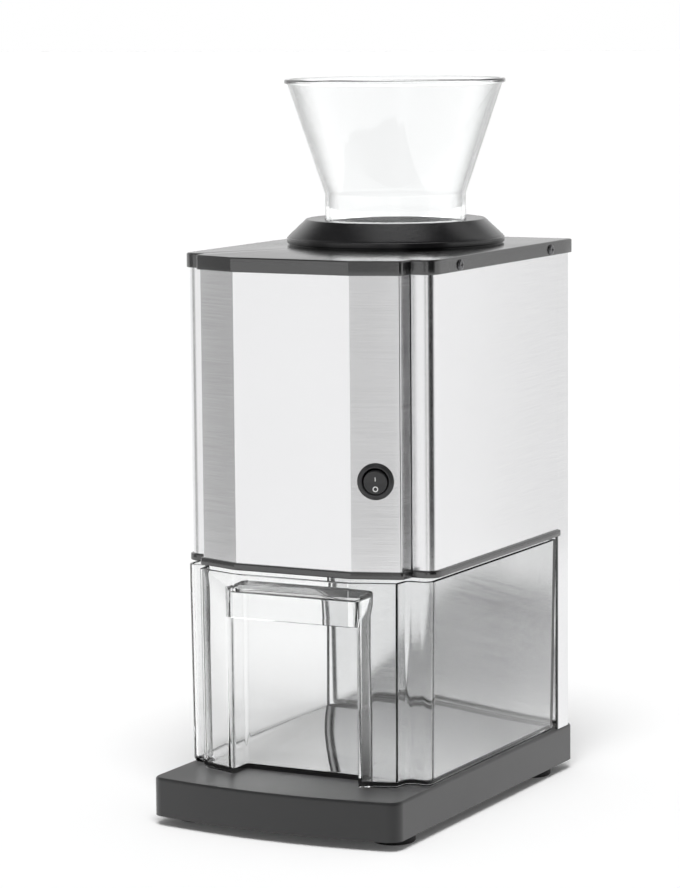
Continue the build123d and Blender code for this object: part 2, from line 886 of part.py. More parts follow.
def involute_point(base_radius, radius, lean):
    """A point of a tooth flank at a radius, leaning from the tooth's middle."""
    angle = math.acos(min(1.0, base_radius / radius))
    roll = math.tan(angle) - angle
    turn = lean - roll
    return radius, turn


def gear_face(module, teeth):
    """A spur gear's outline with one tooth's middle on the X axis."""
    pitch = module * teeth / 2
    base_radius = pitch * math.cos(math.radians(pressure_angle))
    outer = pitch + addendum * module
    root = pitch - dedendum * module
    at_pitch = math.tan(math.radians(pressure_angle)) - math.radians(pressure_angle)
    lean = 2 * math.pi / teeth * tooth_share / 2 + at_pitch
    start = max(base_radius, root)
    radii = [start, (start + outer) / 2, outer]
    flank = [involute_point(base_radius, radius, lean) for radius in radii]
    if root < start:
        flank.insert(0, (root, flank[0][1]))
    points = []
    for tooth in range(teeth):
        middle = 2 * math.pi * tooth / teeth
        for radius, turn in flank:
            points.append((radius * math.cos(middle - turn), radius * math.sin(middle - turn)))
        for radius, turn in reversed(flank):
            points.append((radius * math.cos(middle + turn), radius * math.sin(middle + turn)))
    return make_face(Polyline(*points, close=True))


def make_gear(module, teeth, bore, y0, y1, x, z, tooth_angle):
    """A spur gear along Y, with a tooth pointing at an angle from X towards Z."""
    wheel = extrude(gear_face(module, teeth), amount=y1 - y0)
    wheel = wheel - Cylinder(bore, 3 * (y1 - y0))
    return Pos(x, y1, z) * Rot(90, 0, 0) * Rot(0, 0, tooth_angle) * wheel


def slow_direction():
    """Angle from the crusher shaft to the idler, in the XZ plane."""
    return math.degrees(math.atan2(idler_z - rotor_z, idler_x))


def fast_direction():
    """Angle from the idler to the motor shaft, in the XZ plane."""
    return math.degrees(math.atan2(motor_z - idler_z, -idler_x))


def make_output_gear():
    """Large gear on the crusher shaft, a tooth towards the idler."""
    return make_gear(slow_module, output_teeth, shaft_radius, slow_front, slow_back, 0, rotor_z,
                     slow_direction())


def make_idler_pinion():
    """Small gear of the idler, a gap towards the output gear."""
    angle = slow_direction() + 180 + 180 / idler_pinion_teeth
    return make_gear(slow_module, idler_pinion_teeth, idler_shaft_radius, slow_front, slow_back,
                     idler_x, idler_z, angle)


def make_idler_gear():
    """Large gear of the idler, a tooth towards the motor."""
    return make_gear(fast_module, idler_teeth, idler_shaft_radius, fast_front, fast_back,
                     idler_x, idler_z, fast_direction())


def make_motor_pinion():
    """Motor pinion, a gap towards the idler."""
    angle = fast_direction() + 180 + 180 / motor_pinion_teeth
    bore = motor_shaft_radius - motor_shaft_step
    return make_gear(fast_module, motor_pinion_teeth, bore, fast_front, fast_back,
                     0, motor_z, angle)


def make_idler_shaft():
    """Idler shaft in both plates, thicker between its gears."""
    shaft = rod_y(idler_shaft_radius, front_plate_front + idler_shaft_inset,
                  rear_plate_back + idler_shaft_overhang, idler_x, idler_z)
    shoulder = idler_shaft_radius + idler_shoulder
    return shaft + rod_y(shoulder, fast_back, slow_front, idler_x, idler_z)


def gear_plate(y0, y1):
    """A flat gearbox plate with its bores."""
    shaft_hole = shaft_radius + plate_hole_margin
    motor_hole = motor_shaft_radius + plate_hole_margin
    half = plate_width / 2
    plate = box(-half, half, y0, y1, rotor_z - plate_below, motor_z + plate_above)
    cutters = [rod_y(shaft_hole, y0, y1, 0, rotor_z), rod_y(motor_hole, y0, y1, 0, motor_z)]
    cutters.append(rod_y(idler_shaft_radius + shaft_fit, y0, y1, idler_x, idler_z))
    for x in (-standoff_x, standoff_x):
        for z in (standoff_low, standoff_high):
            cutters.append(rod_y(screw_radius, y0, y1, x, z))
    return cut_all(plate, cutters)


def make_rear_gear_plate():
    """Gear plate on the crusher housing's legs."""
    return gear_plate(rear_plate_front, rear_plate_back)


def make_motor_plate():
    """Front gear plate that carries the motor."""
    return gear_plate(front_plate_front, front_plate_back)


def make_standoffs():
    """Tubes that space the two plates."""
    tubes = []
    for x in (-standoff_x, standoff_x):
        for z in (standoff_low, standoff_high):
            tubes.append(rod_y(standoff_radius, front_plate_back, rear_plate_front, x, z)
                         - rod_y(screw_radius, front_plate_back, rear_plate_front, x, z))
    return tubes


def make_gearbox_bolts():
    """Long bolts through both plates into the housing's legs."""
    bolts = []
    for x in (-standoff_x, standoff_x):
        for z in (standoff_low, standoff_high):
            tip = rear_plate_back + gearbox_bolt_bite
            bolts.append(rod_y(screw_head_radius, front_plate_front - bolt_head_height,
                               front_plate_front, x, z)
                         + rod_y(screw_radius, front_plate_front, tip, x, z))
    return bolts


# Motor

def make_motor_can():
    """Motor can on the front plate, with its rear bearing seat."""
    inner = motor_radius - motor_can_wall
    can = (rod_y(motor_radius, motor_front, motor_rear, 0, motor_z)
           - rod_y(inner, motor_front, motor_rear - end_cap_thickness, 0, motor_z))
    seat = rod_y(2 * motor_shaft_radius, motor_rear - motor_seat_length, motor_rear, 0, motor_z)
    bore = rod_y(motor_shaft_radius + shaft_fit, motor_front, motor_rear, 0, motor_z)
    return can + seat - bore


def make_motor_end_cap():
    """Front cap of the motor, with a bearing seat and air holes."""
    back = motor_front
    front = back - end_cap_thickness
    cap = rod_y(motor_radius, front, back, 0, motor_z)
    cap = cap + rod_y(2 * motor_shaft_radius, back, back + cap_seat_length, 0, motor_z)
    cutters = [rod_y(motor_shaft_radius + shaft_fit, front, back + cap_seat_length, 0, motor_z)]
    ring = end_cap_hole_circle
    for step in range(end_cap_holes):
        turn = 2 * math.pi * step / end_cap_holes
        cutters.append(rod_y(end_cap_hole_radius, front, back,
                             ring * math.cos(turn), motor_z + ring * math.sin(turn)))
    return cut_all(cap, cutters)


def make_stator():
    """Stator ring inside the can."""
    outer = rod_y(motor_radius - motor_can_wall, armature_front, armature_rear, 0, motor_z)
    return outer - rod_y(armature_radius + air_gap, armature_front, armature_rear, 0, motor_z)


def make_armature():
    """Armature core on the motor shaft."""
    core = rod_y(armature_radius, armature_front, armature_rear, 0, motor_z)
    return core - rod_y(motor_shaft_radius, armature_front, armature_rear, 0, motor_z)


def make_motor_shaft():
    """Motor shaft, turned down for its pinion."""
    neck = motor_shaft_radius - motor_shaft_step
    step_y = motor_rear + shaft_overhang / 2
    shaft = rod_y(motor_shaft_radius, motor_shaft_front, step_y, 0, motor_z)
    return shaft + rod_y(neck, step_y, fast_back + shaft_overhang / 2, 0, motor_z)


def make_fan():
    """Cooling fan in front of the motor."""
    y0 = fan_front
    y1 = fan_back
    hub = rod_y(2 * motor_shaft_radius, y0, y1, 0, motor_z)
    vane = box(1.5 * motor_shaft_radius, fan_radius, y0, y1, -fan_vane / 2, fan_vane / 2)
    pieces = [hub]
    for step in range(fan_blades):
        pieces.append(Pos(0, 0, motor_z) * Rot(0, 360 / fan_blades * step, 0) * vane)
    return add_all(pieces) - rod_y(motor_shaft_radius, y0, y1, 0, motor_z)


# Switch and small electrical pieces

def make_switch_housing():
    """Round switch with a bezel, a body behind the panel and a rocker pocket."""
    bezel = Pos(0, 0, switch_bezel_height / 2) * Cylinder(switch_bezel_radius, switch_bezel_height)
    bezel = fillet(bezel.edges().group_by(Axis.Z)[-1], switch_bezel_round)
    body = Pos(0, 0, -switch_body_depth / 2) * Cylinder(switch_body_radius, switch_body_depth)
    depth = rocker_pocket_depth
    pocket = Pos(0, 0, switch_bezel_height - depth / 2) * Cylinder(rocker_pocket_radius, depth)
    pins = Rot(0, 90, 0) * Cylinder(rocker_pin_radius + shaft_fit, 2 * (rocker_pin_reach + seat_gap))
    housing = bezel + body - pocket - Pos(0, 0, rocker_depth()) * pins
    tab_z = -switch_body_depth - switch_tab_length / 2
    for side in (-1, 1):
        tab = Box(switch_tab_width, switch_tab_thickness, switch_tab_length)
        housing = housing + Pos(side * switch_tab_spread / 2, 0, tab_z) * tab
    return switch_plane() * housing


def rocker_depth():
    """Height of the rocker's pivot above the panel face."""
    return switch_bezel_height - rocker_thickness / 2 - rocker_sink


def make_rocker():
    """Rocker with two slanted halves and its pivot pins, at rest with its lower half pressed."""
    tilt = math.tan(math.radians(rocker_tilt))
    crown = rocker_thickness / 2
    end = crown + rocker_radius * tilt
    side = Polyline((-rocker_radius, -crown), (rocker_radius, -crown), (rocker_radius, end),
                    (0, crown), (-rocker_radius, end), close=True)
    block = extrude(make_face(Plane.YZ * side), amount=rocker_radius, both=True)
    plate = block & Cylinder(rocker_radius, 4 * rocker_thickness)
    pins = Rot(0, 90, 0) * Cylinder(rocker_pin_radius, 2 * rocker_pin_reach)
    return switch_plane() * Pos(0, 0, rocker_depth()) * Rot(rocker_tilt, 0, 0) * (plate + pins)


def make_terminal_block():
    """Terminal block on the column's inner wall."""
    front = column_front + column_sheet
    back = front + terminal_depth
    block = box(terminal_x - terminal_width / 2, terminal_x + terminal_width / 2, front, back,
                terminal_z - terminal_height / 2, terminal_z + terminal_height / 2)
    holes = [rod_y(terminal_hole_radius, front + terminal_depth / 2, back,
                   terminal_x + step * terminal_hole_pitch, terminal_z) for step in (-1, 0, 1)]
    return cut_all(block, holes)


def make_capacitor():
    """Motor run capacitor on the trim frame."""
    y = post_face + capacitor_setback
    case = box(capacitor_x - capacitor_length / 2, capacitor_x + capacitor_length / 2,
               y - capacitor_width / 2, y + capacitor_width / 2,
               frame_top, frame_top + capacitor_height)
    return fillet(case.edges().filter_by(Axis.Z), capacitor_round)


# Clear drawer

def drawer_shape(inset, floor_rise):
    """The drawer's drafted block, inset all round and raised from its floor."""
    top_rear = column_front + drawer_lead - drawer_rear_gap - inset
    bottom_rear = top_rear - drawer_rear_draft
    low = head_outline(-inset - drawer_draft, bottom_rear)
    high = head_outline(-inset, top_rear)
    low = Pos(0, -drawer_lead, base_top + floor_rise) * low
    high = Pos(0, -drawer_lead, drawer_top) * high
    return loft([low.face(), high.face()], ruled=True)


def niche_back():
    """Y of the back of the finger niche."""
    return drawer_front + niche_depth


def niche_top():
    """Height of the niche's ceiling."""
    return drawer_top - niche_drop


def niche_walls():
    """The space that the niche and its walls take from the drawer's inside."""
    half = niche_half + drawer_wall
    front = drawer_front - over_cut
    return box(-half, half, front, niche_back() + drawer_wall, base_top, niche_top() + drawer_wall)


def niche_mouth():
    """The open niche below the grip lip, rounded outward where it meets the front."""
    across = niche_overlap + niche_round
    front = drawer_front + across * math.tan(math.radians(facet_angle))
    outer = niche_half + niche_round
    inner = niche_half
    behind = front + niche_round
    bend = niche_round * (1 - math.sqrt(0.5))
    ahead = drawer_front - niche_round
    edges = [
        Polyline((-outer, front), (-outer, ahead), (outer, ahead), (outer, front)),
        ThreePointArc((outer, front), (inner + bend, front + bend), (inner, behind)),
        Polyline((inner, behind), (inner, niche_back()), (-inner, niche_back()), (-inner, behind)),
        ThreePointArc((-inner, behind), (-inner - bend, front + bend), (-outer, front)),
    ]
    height = niche_top() - grip_height - base_top + over_cut
    return Pos(0, 0, base_top - over_cut) * extrude(make_face(edges), amount=height)


def niche_hood():
    """The finger space behind the grip lip."""
    half = niche_half
    lip_back = drawer_front + drawer_draft + drawer_wall
    bottom = niche_top() - grip_height - over_cut
    return box(-half, half, lip_back, niche_back(), bottom, niche_top())


def make_drawer():
    """Clear drawer with stepped front corners, a finger niche and a grip lip across its top."""
    outer = drawer_shape(0, 0)
    outer = fillet(outer.edges().group_by(Axis.Z)[0], drawer_foot_round)
    hollow = drawer_shape(drawer_wall, drawer_floor) - niche_walls()
    return cut_all(outer, [hollow, niche_mouth(), niche_hood()])


# Every node of the model

def save(name, shape):
    """Writes one node; a list becomes one compound of separate solids."""
    if isinstance(shape, list):
        solids = [solid for item in shape for solid in item.solids()]
        shape = Compound(children=solids)
    shape.label = name
    export_step(shape, os.path.join("parts", name + ".step"))


def main():
    """Makes and writes every piece."""
    os.makedirs("parts", exist_ok=True)
    save("base_plate", make_base_plate())
    save("base_cover", make_base_cover())
    save("base_screws", make_base_screws())
    for name, x, y in foot_places():
        save(name, make_foot(x, y))
    save("column_web", make_column_web())
    save("column_rail_left", make_column_rail(-1))
    save("column_rail_right", make_column_rail(1))
    save("rear_panel", make_rear_panel())
    save("rear_panel_screws", make_rear_screws())
    save("column_screws", make_column_screws())
    save("housing_bolts", make_housing_bolts())
    save("cord_gland", make_cord_gland())
    save("bottom_frame", make_bottom_frame())
    save("front_panel", make_front_panel())
    save("side_panel_left", make_side_panel(-1))
    save("side_panel_right", make_side_panel(1))
    save("top_cover", make_top_cover())
    save("lid_screws", make_lid_screws())
    save("hopper_collar", make_collar())
    save("collar_screws", make_collar_screws())
    save("hopper_funnel", make_funnel())
    save("crusher_housing", make_crusher_housing())
    save("fixed_comb", make_fixed_comb())
    save("comb_screws", make_comb_screws())
    save("flange_screws", make_flange_screws())
    boss = bearing_boss_length
    save("front_bearing", make_bearing(chamber_front - boss, chamber_front + chamber_wall))
    save("rear_bearing", make_bearing(chamber_rear - chamber_wall, chamber_rear + boss))
    save("crusher_shaft", make_crusher_shaft())
    for index in range(blade_count):
        save("crusher_blade_%d" % (index + 1), make_blade(index))
    save("blade_spacers", make_spacers())
    save("shaft_rings", make_shaft_rings())
    save("output_gear", make_output_gear())
    save("idler_shaft", make_idler_shaft())
    save("idler_gear", make_idler_gear())
    save("idler_pinion", make_idler_pinion())
    save("rear_gear_plate", make_rear_gear_plate())
    save("motor_plate", make_motor_plate())
    save("gearbox_standoffs", make_standoffs())
    save("gearbox_bolts", make_gearbox_bolts())
    save("motor_can", make_motor_can())
    save("motor_end_cap", make_motor_end_cap())
    save("motor_stator", make_stator())
    save("motor_armature", make_armature())
    save("motor_shaft", make_motor_shaft())
    save("motor_pinion", make_motor_pinion())
    save("cooling_fan", make_fan())
    save("switch_housing", make_switch_housing())
    save("switch_rocker", make_rocker())
    save("terminal_block", make_terminal_block())
    save("run_capacitor", make_capacitor())
    save("drawer", make_drawer())


main()
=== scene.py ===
import json
import math
import bmesh
import bpy
from mathutils import Matrix, Vector


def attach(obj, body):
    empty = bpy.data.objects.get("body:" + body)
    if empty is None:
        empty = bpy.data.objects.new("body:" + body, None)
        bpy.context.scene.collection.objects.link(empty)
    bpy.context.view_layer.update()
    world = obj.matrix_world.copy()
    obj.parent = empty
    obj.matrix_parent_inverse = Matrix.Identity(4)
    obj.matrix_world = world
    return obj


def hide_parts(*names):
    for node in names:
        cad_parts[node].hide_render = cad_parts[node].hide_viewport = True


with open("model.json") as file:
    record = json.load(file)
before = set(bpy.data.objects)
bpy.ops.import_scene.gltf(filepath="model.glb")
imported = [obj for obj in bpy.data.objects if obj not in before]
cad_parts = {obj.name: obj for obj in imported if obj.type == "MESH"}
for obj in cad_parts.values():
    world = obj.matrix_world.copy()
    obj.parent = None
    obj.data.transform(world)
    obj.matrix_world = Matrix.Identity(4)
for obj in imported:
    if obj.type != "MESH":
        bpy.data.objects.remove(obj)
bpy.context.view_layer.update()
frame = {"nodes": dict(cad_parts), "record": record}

nodes = frame["nodes"]
print("frame loaded:", len(nodes), "nodes")


# camera and studio

photoView = {"place": (1.02165, -1.98459, 0.52620), "yaw": 27.641, "down": 7.383, "roll": -0.504,
             "lens": 138.71, "sensor": 36}


def setCamera(view):
    data = bpy.data.cameras.new("photoCamera")
    data.lens = view["lens"]
    data.sensor_width = view["sensor"]
    data.clip_end = 50
    eye = bpy.data.objects.new("photoCamera", data)
    bpy.context.scene.collection.objects.link(eye)
    yaw = Matrix.Rotation(math.radians(view["yaw"]), 4, "Z")
    tilt = Matrix.Rotation(math.radians(90 - view["down"]), 4, "X")
    roll = Matrix.Rotation(math.radians(view["roll"]), 4, "Z")
    eye.matrix_world = Matrix.Translation(view["place"]) @ yaw @ tilt @ roll
    bpy.context.scene.camera = eye


setCamera(photoView)

studio = {"sky": 0.35, "floorSize": 60.0, "floorTone": 0.9, "floorLift": 0.05,
          "sun": {"bearing": 25.0, "height": 62.0, "spread": 30.0, "strength": 2.6, "away": 4.0},
          "highLow": 20.0, "highFull": 42.0, "highTone": 0.07,
          "zenith": 0.8, "zenithFrom": 0.93, "zenithFull": 0.98, "cardHeight": 2.0, "cardLift": 0.002}

# grey cards that only glossy surfaces see: name, bearing from the front, half spread, distance, tone
greyCards = [("cardChamfer", 12.5, 8.0, 1.05, 0.58),
             ("cardCamera", 59.5, 24.0, 1.0, 0.02),
             ("cardLeft", -62.0, 14.0, 1.0, 0.42),
             ("cardSide", 156.0, 8.5, 1.1, 0.84)]


def linkNodes(tree, *pairs):
    for source, target in pairs:
        tree.links.new(source, target)


def mathNode(tree, operation, first, second):
    node = tree.nodes.new("ShaderNodeMath")
    node.operation = operation
    for socket, value in zip(node.inputs, (first, second)):
        if isinstance(value, float):
            socket.default_value = value
        else:
            linkNodes(tree, (value, socket))
    return node.outputs[0]


def easedRange(tree, value, low, high, start, end):
    ramp = tree.nodes.new("ShaderNodeMapRange")
    ramp.interpolation_type = "SMOOTHSTEP"
    for socket, number in (("From Min", low), ("From Max", high), ("To Min", start), ("To Max", end)):
        ramp.inputs[socket].default_value = number
    linkNodes(tree, (value, ramp.inputs["Value"]))
    return ramp.outputs["Result"]


def lightWorld(look):  # white to the camera and through glass, a dimmer high sky in reflections
    world = bpy.data.worlds.new("whiteStudio")
    bpy.context.scene.world = world
    world.use_nodes = True
    tree = world.node_tree
    tree.nodes.clear()
    out = tree.nodes.new("ShaderNodeOutputWorld")
    glow = tree.nodes.new("ShaderNodeBackground")
    glow.inputs["Color"].default_value = (1, 1, 1, 1)
    path = tree.nodes.new("ShaderNodeLightPath")
    way = tree.nodes.new("ShaderNodeSeparateXYZ")
    linkNodes(tree, (tree.nodes.new("ShaderNodeTexCoord").outputs["Generated"], way.inputs[0]))
    rise = way.outputs["Z"]
    high = easedRange(tree, rise, math.sin(math.radians(look["highLow"])),
                      math.sin(math.radians(look["highFull"])), 1.0, look["highTone"])
    zenith = easedRange(tree, rise, look["zenithFrom"], look["zenithFull"], 0.0, look["zenith"])
    mirrored = mathNode(tree, "ADD", high, zenith)
    direct = mathNode(tree, "MAXIMUM", path.outputs["Is Camera Ray"], path.outputs["Is Transmission Ray"])
    matte = mathNode(tree, "MAXIMUM", path.outputs["Is Glossy Ray"], direct)
    matte = mathNode(tree, "SUBTRACT", 1.0, matte)
    total = mathNode(tree, "ADD", direct, mathNode(tree, "MULTIPLY", matte, look["sky"]))
    total = mathNode(tree, "ADD", total, mathNode(tree, "MULTIPLY", path.outputs["Is Glossy Ray"], mirrored))
    linkNodes(tree, (total, glow.inputs["Strength"]), (glow.outputs[0], out.inputs["Surface"]))


def addSun(look):  # wide soft light from the front, high up
    data = bpy.data.lights.new("softSun", "SUN")
    data.energy = look["strength"]
    data.angle = math.radians(look["spread"])
    sun = bpy.data.objects.new("softSun", data)
    bpy.context.scene.collection.objects.link(sun)
    bearing, height = math.radians(look["bearing"]), math.radians(look["height"])
    level = math.cos(height)
    source = Vector((math.sin(bearing) * level, -math.cos(bearing) * level, math.sin(height)))
    aim = source.to_track_quat("Z", "Y").to_matrix().to_4x4()
    sun.matrix_world = Matrix.Translation(source * look["away"]) @ aim
    sun.visible_glossy = False
    sun.visible_transmission = False


def flatSheet(name, width, height, place):
    mesh = bpy.data.meshes.new(name)
    w, h = width / 2, height / 2
    mesh.from_pydata([(-w, -h, 0), (w, -h, 0), (w, h, 0), (-w, h, 0)], [], [(0, 1, 2, 3)])
    sheet = bpy.data.objects.new(name, mesh)
    bpy.context.scene.collection.objects.link(sheet)
    sheet.matrix_world = place
    return sheet


def floorMaterial(look):
    paper = bpy.data.materials.new("whiteSweep")
    paper.use_nodes = True
    tree = paper.node_tree
    tree.nodes.clear()
    out = tree.nodes.new("ShaderNodeOutputMaterial")
    matte = tree.nodes.new("ShaderNodeBsdfDiffuse")
    matte.inputs["Color"].default_value = (look["floorTone"],) * 3 + (1,)
    lift = tree.nodes.new("ShaderNodeEmission")
    path = tree.nodes.new("ShaderNodeLightPath")
    seen = mathNode(tree, "MAXIMUM", path.outputs["Is Camera Ray"], path.outputs["Is Transmission Ray"])
    seen = mathNode(tree, "MAXIMUM", seen, path.outputs["Is Glossy Ray"])
    add = tree.nodes.new("ShaderNodeAddShader")
    linkNodes(tree, (mathNode(tree, "MULTIPLY", seen, look["floorLift"]), lift.inputs["Strength"]),
              (matte.outputs[0], add.inputs[0]), (lift.outputs[0], add.inputs[1]),
              (add.outputs[0], out.inputs["Surface"]))
    return paper


def cardMaterial(name, tone):
    card = bpy.data.materials.new(name)
    card.use_nodes = True
    tree = card.node_tree
    tree.nodes.clear()
    out = tree.nodes.new("ShaderNodeOutputMaterial")
    glow = tree.nodes.new("ShaderNodeEmission")
    glow.inputs["Color"].default_value = (tone, tone, tone, 1)
    linkNodes(tree, (glow.outputs[0], out.inputs["Surface"]))
    return card


def buildStudio(look, cards):
    bpy.context.scene.view_settings.view_transform = "Standard"
    lightWorld(look)
    addSun(look["sun"])
    floor = flatSheet("studioFloor", look["floorSize"], look["floorSize"], Matrix.Identity(4))
    floor.data.materials.append(floorMaterial(look))
    for name, bearing, halfSpread, distance, tone in cards:
        turn = math.radians(bearing)
        width, height = 2 * distance * math.tan(math.radians(halfSpread)), look["cardHeight"]
        centre = Vector((math.sin(turn) * distance, -math.cos(turn) * distance,
                         height / 2 + look["cardLift"]))
        facing = (Vector((0, 0, centre.z)) - centre).to_track_quat("Z", "Y").to_matrix().to_4x4()
        card = flatSheet(name, width, height, Matrix.Translation(centre) @ facing)
        card.data.materials.append(cardMaterial(name, tone))
        for ray in ("visible_camera", "visible_diffuse", "visible_transmission",
                    "visible_volume_scatter", "visible_shadow"):
            setattr(card, ray, False)


buildStudio(studio, greyCards)
print("studio ready")


# finishes

noiseBand = (0.3, 0.7)  # noise stays mostly between these
grainDepth = {"steel": 0.0001, "moulded": 0.00005, "clear": 0.0004, "metal": 0.0001}
cloudScale = {"steel": 9.0, "moulded": 14.0, "clear": 30.0, "metal": 40.0}
roughSpan = {"steel": 0.04, "steelCloud": 0.015, "moulded": 0.03, "metal": 0.06}


def startFinish(name):
    finish = bpy.data.materials.new(name)
    finish.use_nodes = True
    tree = finish.node_tree
    shader = tree.nodes["Principled BSDF"]
    where = tree.nodes.new("ShaderNodeTexCoord").outputs["Object"]
    return finish, tree, shader, where


def noiseAt(tree, where, scale, stretch=(1, 1, 1), detail=3.0, rough=0.55):
    fit = tree.nodes.new("ShaderNodeMapping")
    fit.inputs["Scale"].default_value = stretch
    noise = tree.nodes.new("ShaderNodeTexNoise")
    noise.inputs["Scale"].default_value = scale
    noise.inputs["Detail"].default_value = detail
    noise.inputs["Roughness"].default_value = rough
    linkNodes(tree, (where, fit.inputs["Vector"]), (fit.outputs[0], noise.inputs["Vector"]))
    return noise.outputs["Fac"]


def spread(tree, value, low, high):
    ramp = tree.nodes.new("ShaderNodeMapRange")
    ramp.inputs["From Min"].default_value = noiseBand[0]
    ramp.inputs["From Max"].default_value = noiseBand[1]
    ramp.inputs["To Min"].default_value = low
    ramp.inputs["To Max"].default_value = high
    linkNodes(tree, (value, ramp.inputs["Value"]))
    return ramp.outputs["Result"]


def roughBy(tree, shader, value, rough, span):
    linkNodes(tree, (spread(tree, value, rough - span, rough + span), shader.inputs["Roughness"]))


def tintBy(tree, shader, value, dark, light):
    mix = tree.nodes.new("ShaderNodeMix")
    mix.data_type = "RGBA"
    mix.inputs["A"].default_value = (*dark, 1)
    mix.inputs["B"].default_value = (*light, 1)
    linkNodes(tree, (value, mix.inputs["Factor"]), (mix.outputs["Result"], shader.inputs["Base Color"]))


def reliefBy(tree, shader, value, strength, distance):
    relief = tree.nodes.new("ShaderNodeBump")
    relief.inputs["Strength"].default_value = strength
    relief.inputs["Distance"].default_value = distance
    linkNodes(tree, (value, relief.inputs["Height"]), (relief.outputs[0], shader.inputs["Normal"]))


def brushedSteel(name, look):  # streaks run level; the blur across them comes from the anisotropy
    finish, tree, shader, where = startFinish(name)
    shader.inputs["Metallic"].default_value = 1.0
    shader.inputs["Anisotropic"].default_value = look["stretch"]
    tangent = tree.nodes.new("ShaderNodeTangent")
    tangent.direction_type = "RADIAL"
    tangent.axis = "Z"
    linkNodes(tree, (tangent.outputs[0], shader.inputs["Tangent"]))
    streak = noiseAt(tree, where, 1.0, look["streaks"], 4.0, 0.6)
    cloud = noiseAt(tree, where, cloudScale["steel"], detail=2.0)
    tintBy(tree, shader, spread(tree, streak, 0, 1), look["dark"], look["light"])
    span, cloudSpan = roughSpan["steel"], roughSpan["steelCloud"]
    rough = mathNode(tree, "ADD", spread(tree, streak, look["rough"] - span, look["rough"] + span),
                     spread(tree, cloud, -cloudSpan, cloudSpan))
    linkNodes(tree, (rough, shader.inputs["Roughness"]))
    reliefBy(tree, shader, streak, look["relief"], grainDepth["steel"])
    return finish


def mouldedPlastic(name, look):
    finish, tree, shader, where = startFinish(name)
    grain = noiseAt(tree, where, look["grain"], detail=2.0)
    cloud = noiseAt(tree, where, cloudScale["moulded"], detail=3.0)
    tintBy(tree, shader, spread(tree, cloud, 0, 1), look["dark"], look["light"])
    roughBy(tree, shader, cloud, look["rough"], roughSpan["moulded"])
    shader.inputs["Specular IOR Level"].default_value = look["gloss"]
    shader.inputs["IOR"].default_value = look.get("ior", 1.5)
    shader.inputs["Sheen Weight"].default_value = look.get("sheen", 0.0)
    reliefBy(tree, shader, grain, look["relief"], grainDepth["moulded"])
    return finish


def clearPlastic(name, look):  # the tint deepens towards the silhouette into a painted grey shade, chosen by view angle
    finish, tree, shader, where = startFinish(name)
    wave = noiseAt(tree, where, look["wave"], detail=1.0)
    smear = noiseAt(tree, where, cloudScale["clear"], detail=3.0)
    facing = tree.nodes.new("ShaderNodeLayerWeight").outputs["Facing"]
    tintBy(tree, shader, easedRange(tree, facing, *look["shadeFacing"], 0.0, 1.0), look["tint"], look["edge"])
    shader.inputs["Transmission Weight"].default_value = 1.0
    shader.inputs["IOR"].default_value = look["ior"]
    linkNodes(tree, (spread(tree, smear, 0.0, look["smear"]), shader.inputs["Roughness"]))
    reliefBy(tree, shader, wave, look["relief"], grainDepth["clear"])
    return finish


def workedMetal(name, look):  # machined, cast or plated metal
    finish, tree, shader, where = startFinish(name)
    shader.inputs["Metallic"].default_value = 1.0
    grain = noiseAt(tree, where, look["grain"], look.get("lines", (1, 1, 1)), 4.0)
    cloud = noiseAt(tree, where, cloudScale["metal"], detail=3.0)
    tintBy(tree, shader, spread(tree, cloud, 0, 1), look["dark"], look["light"])
    roughBy(tree, shader, grain, look["rough"], roughSpan["metal"])
    reliefBy(tree, shader, grain, look["relief"], grainDepth["metal"])
    return finish


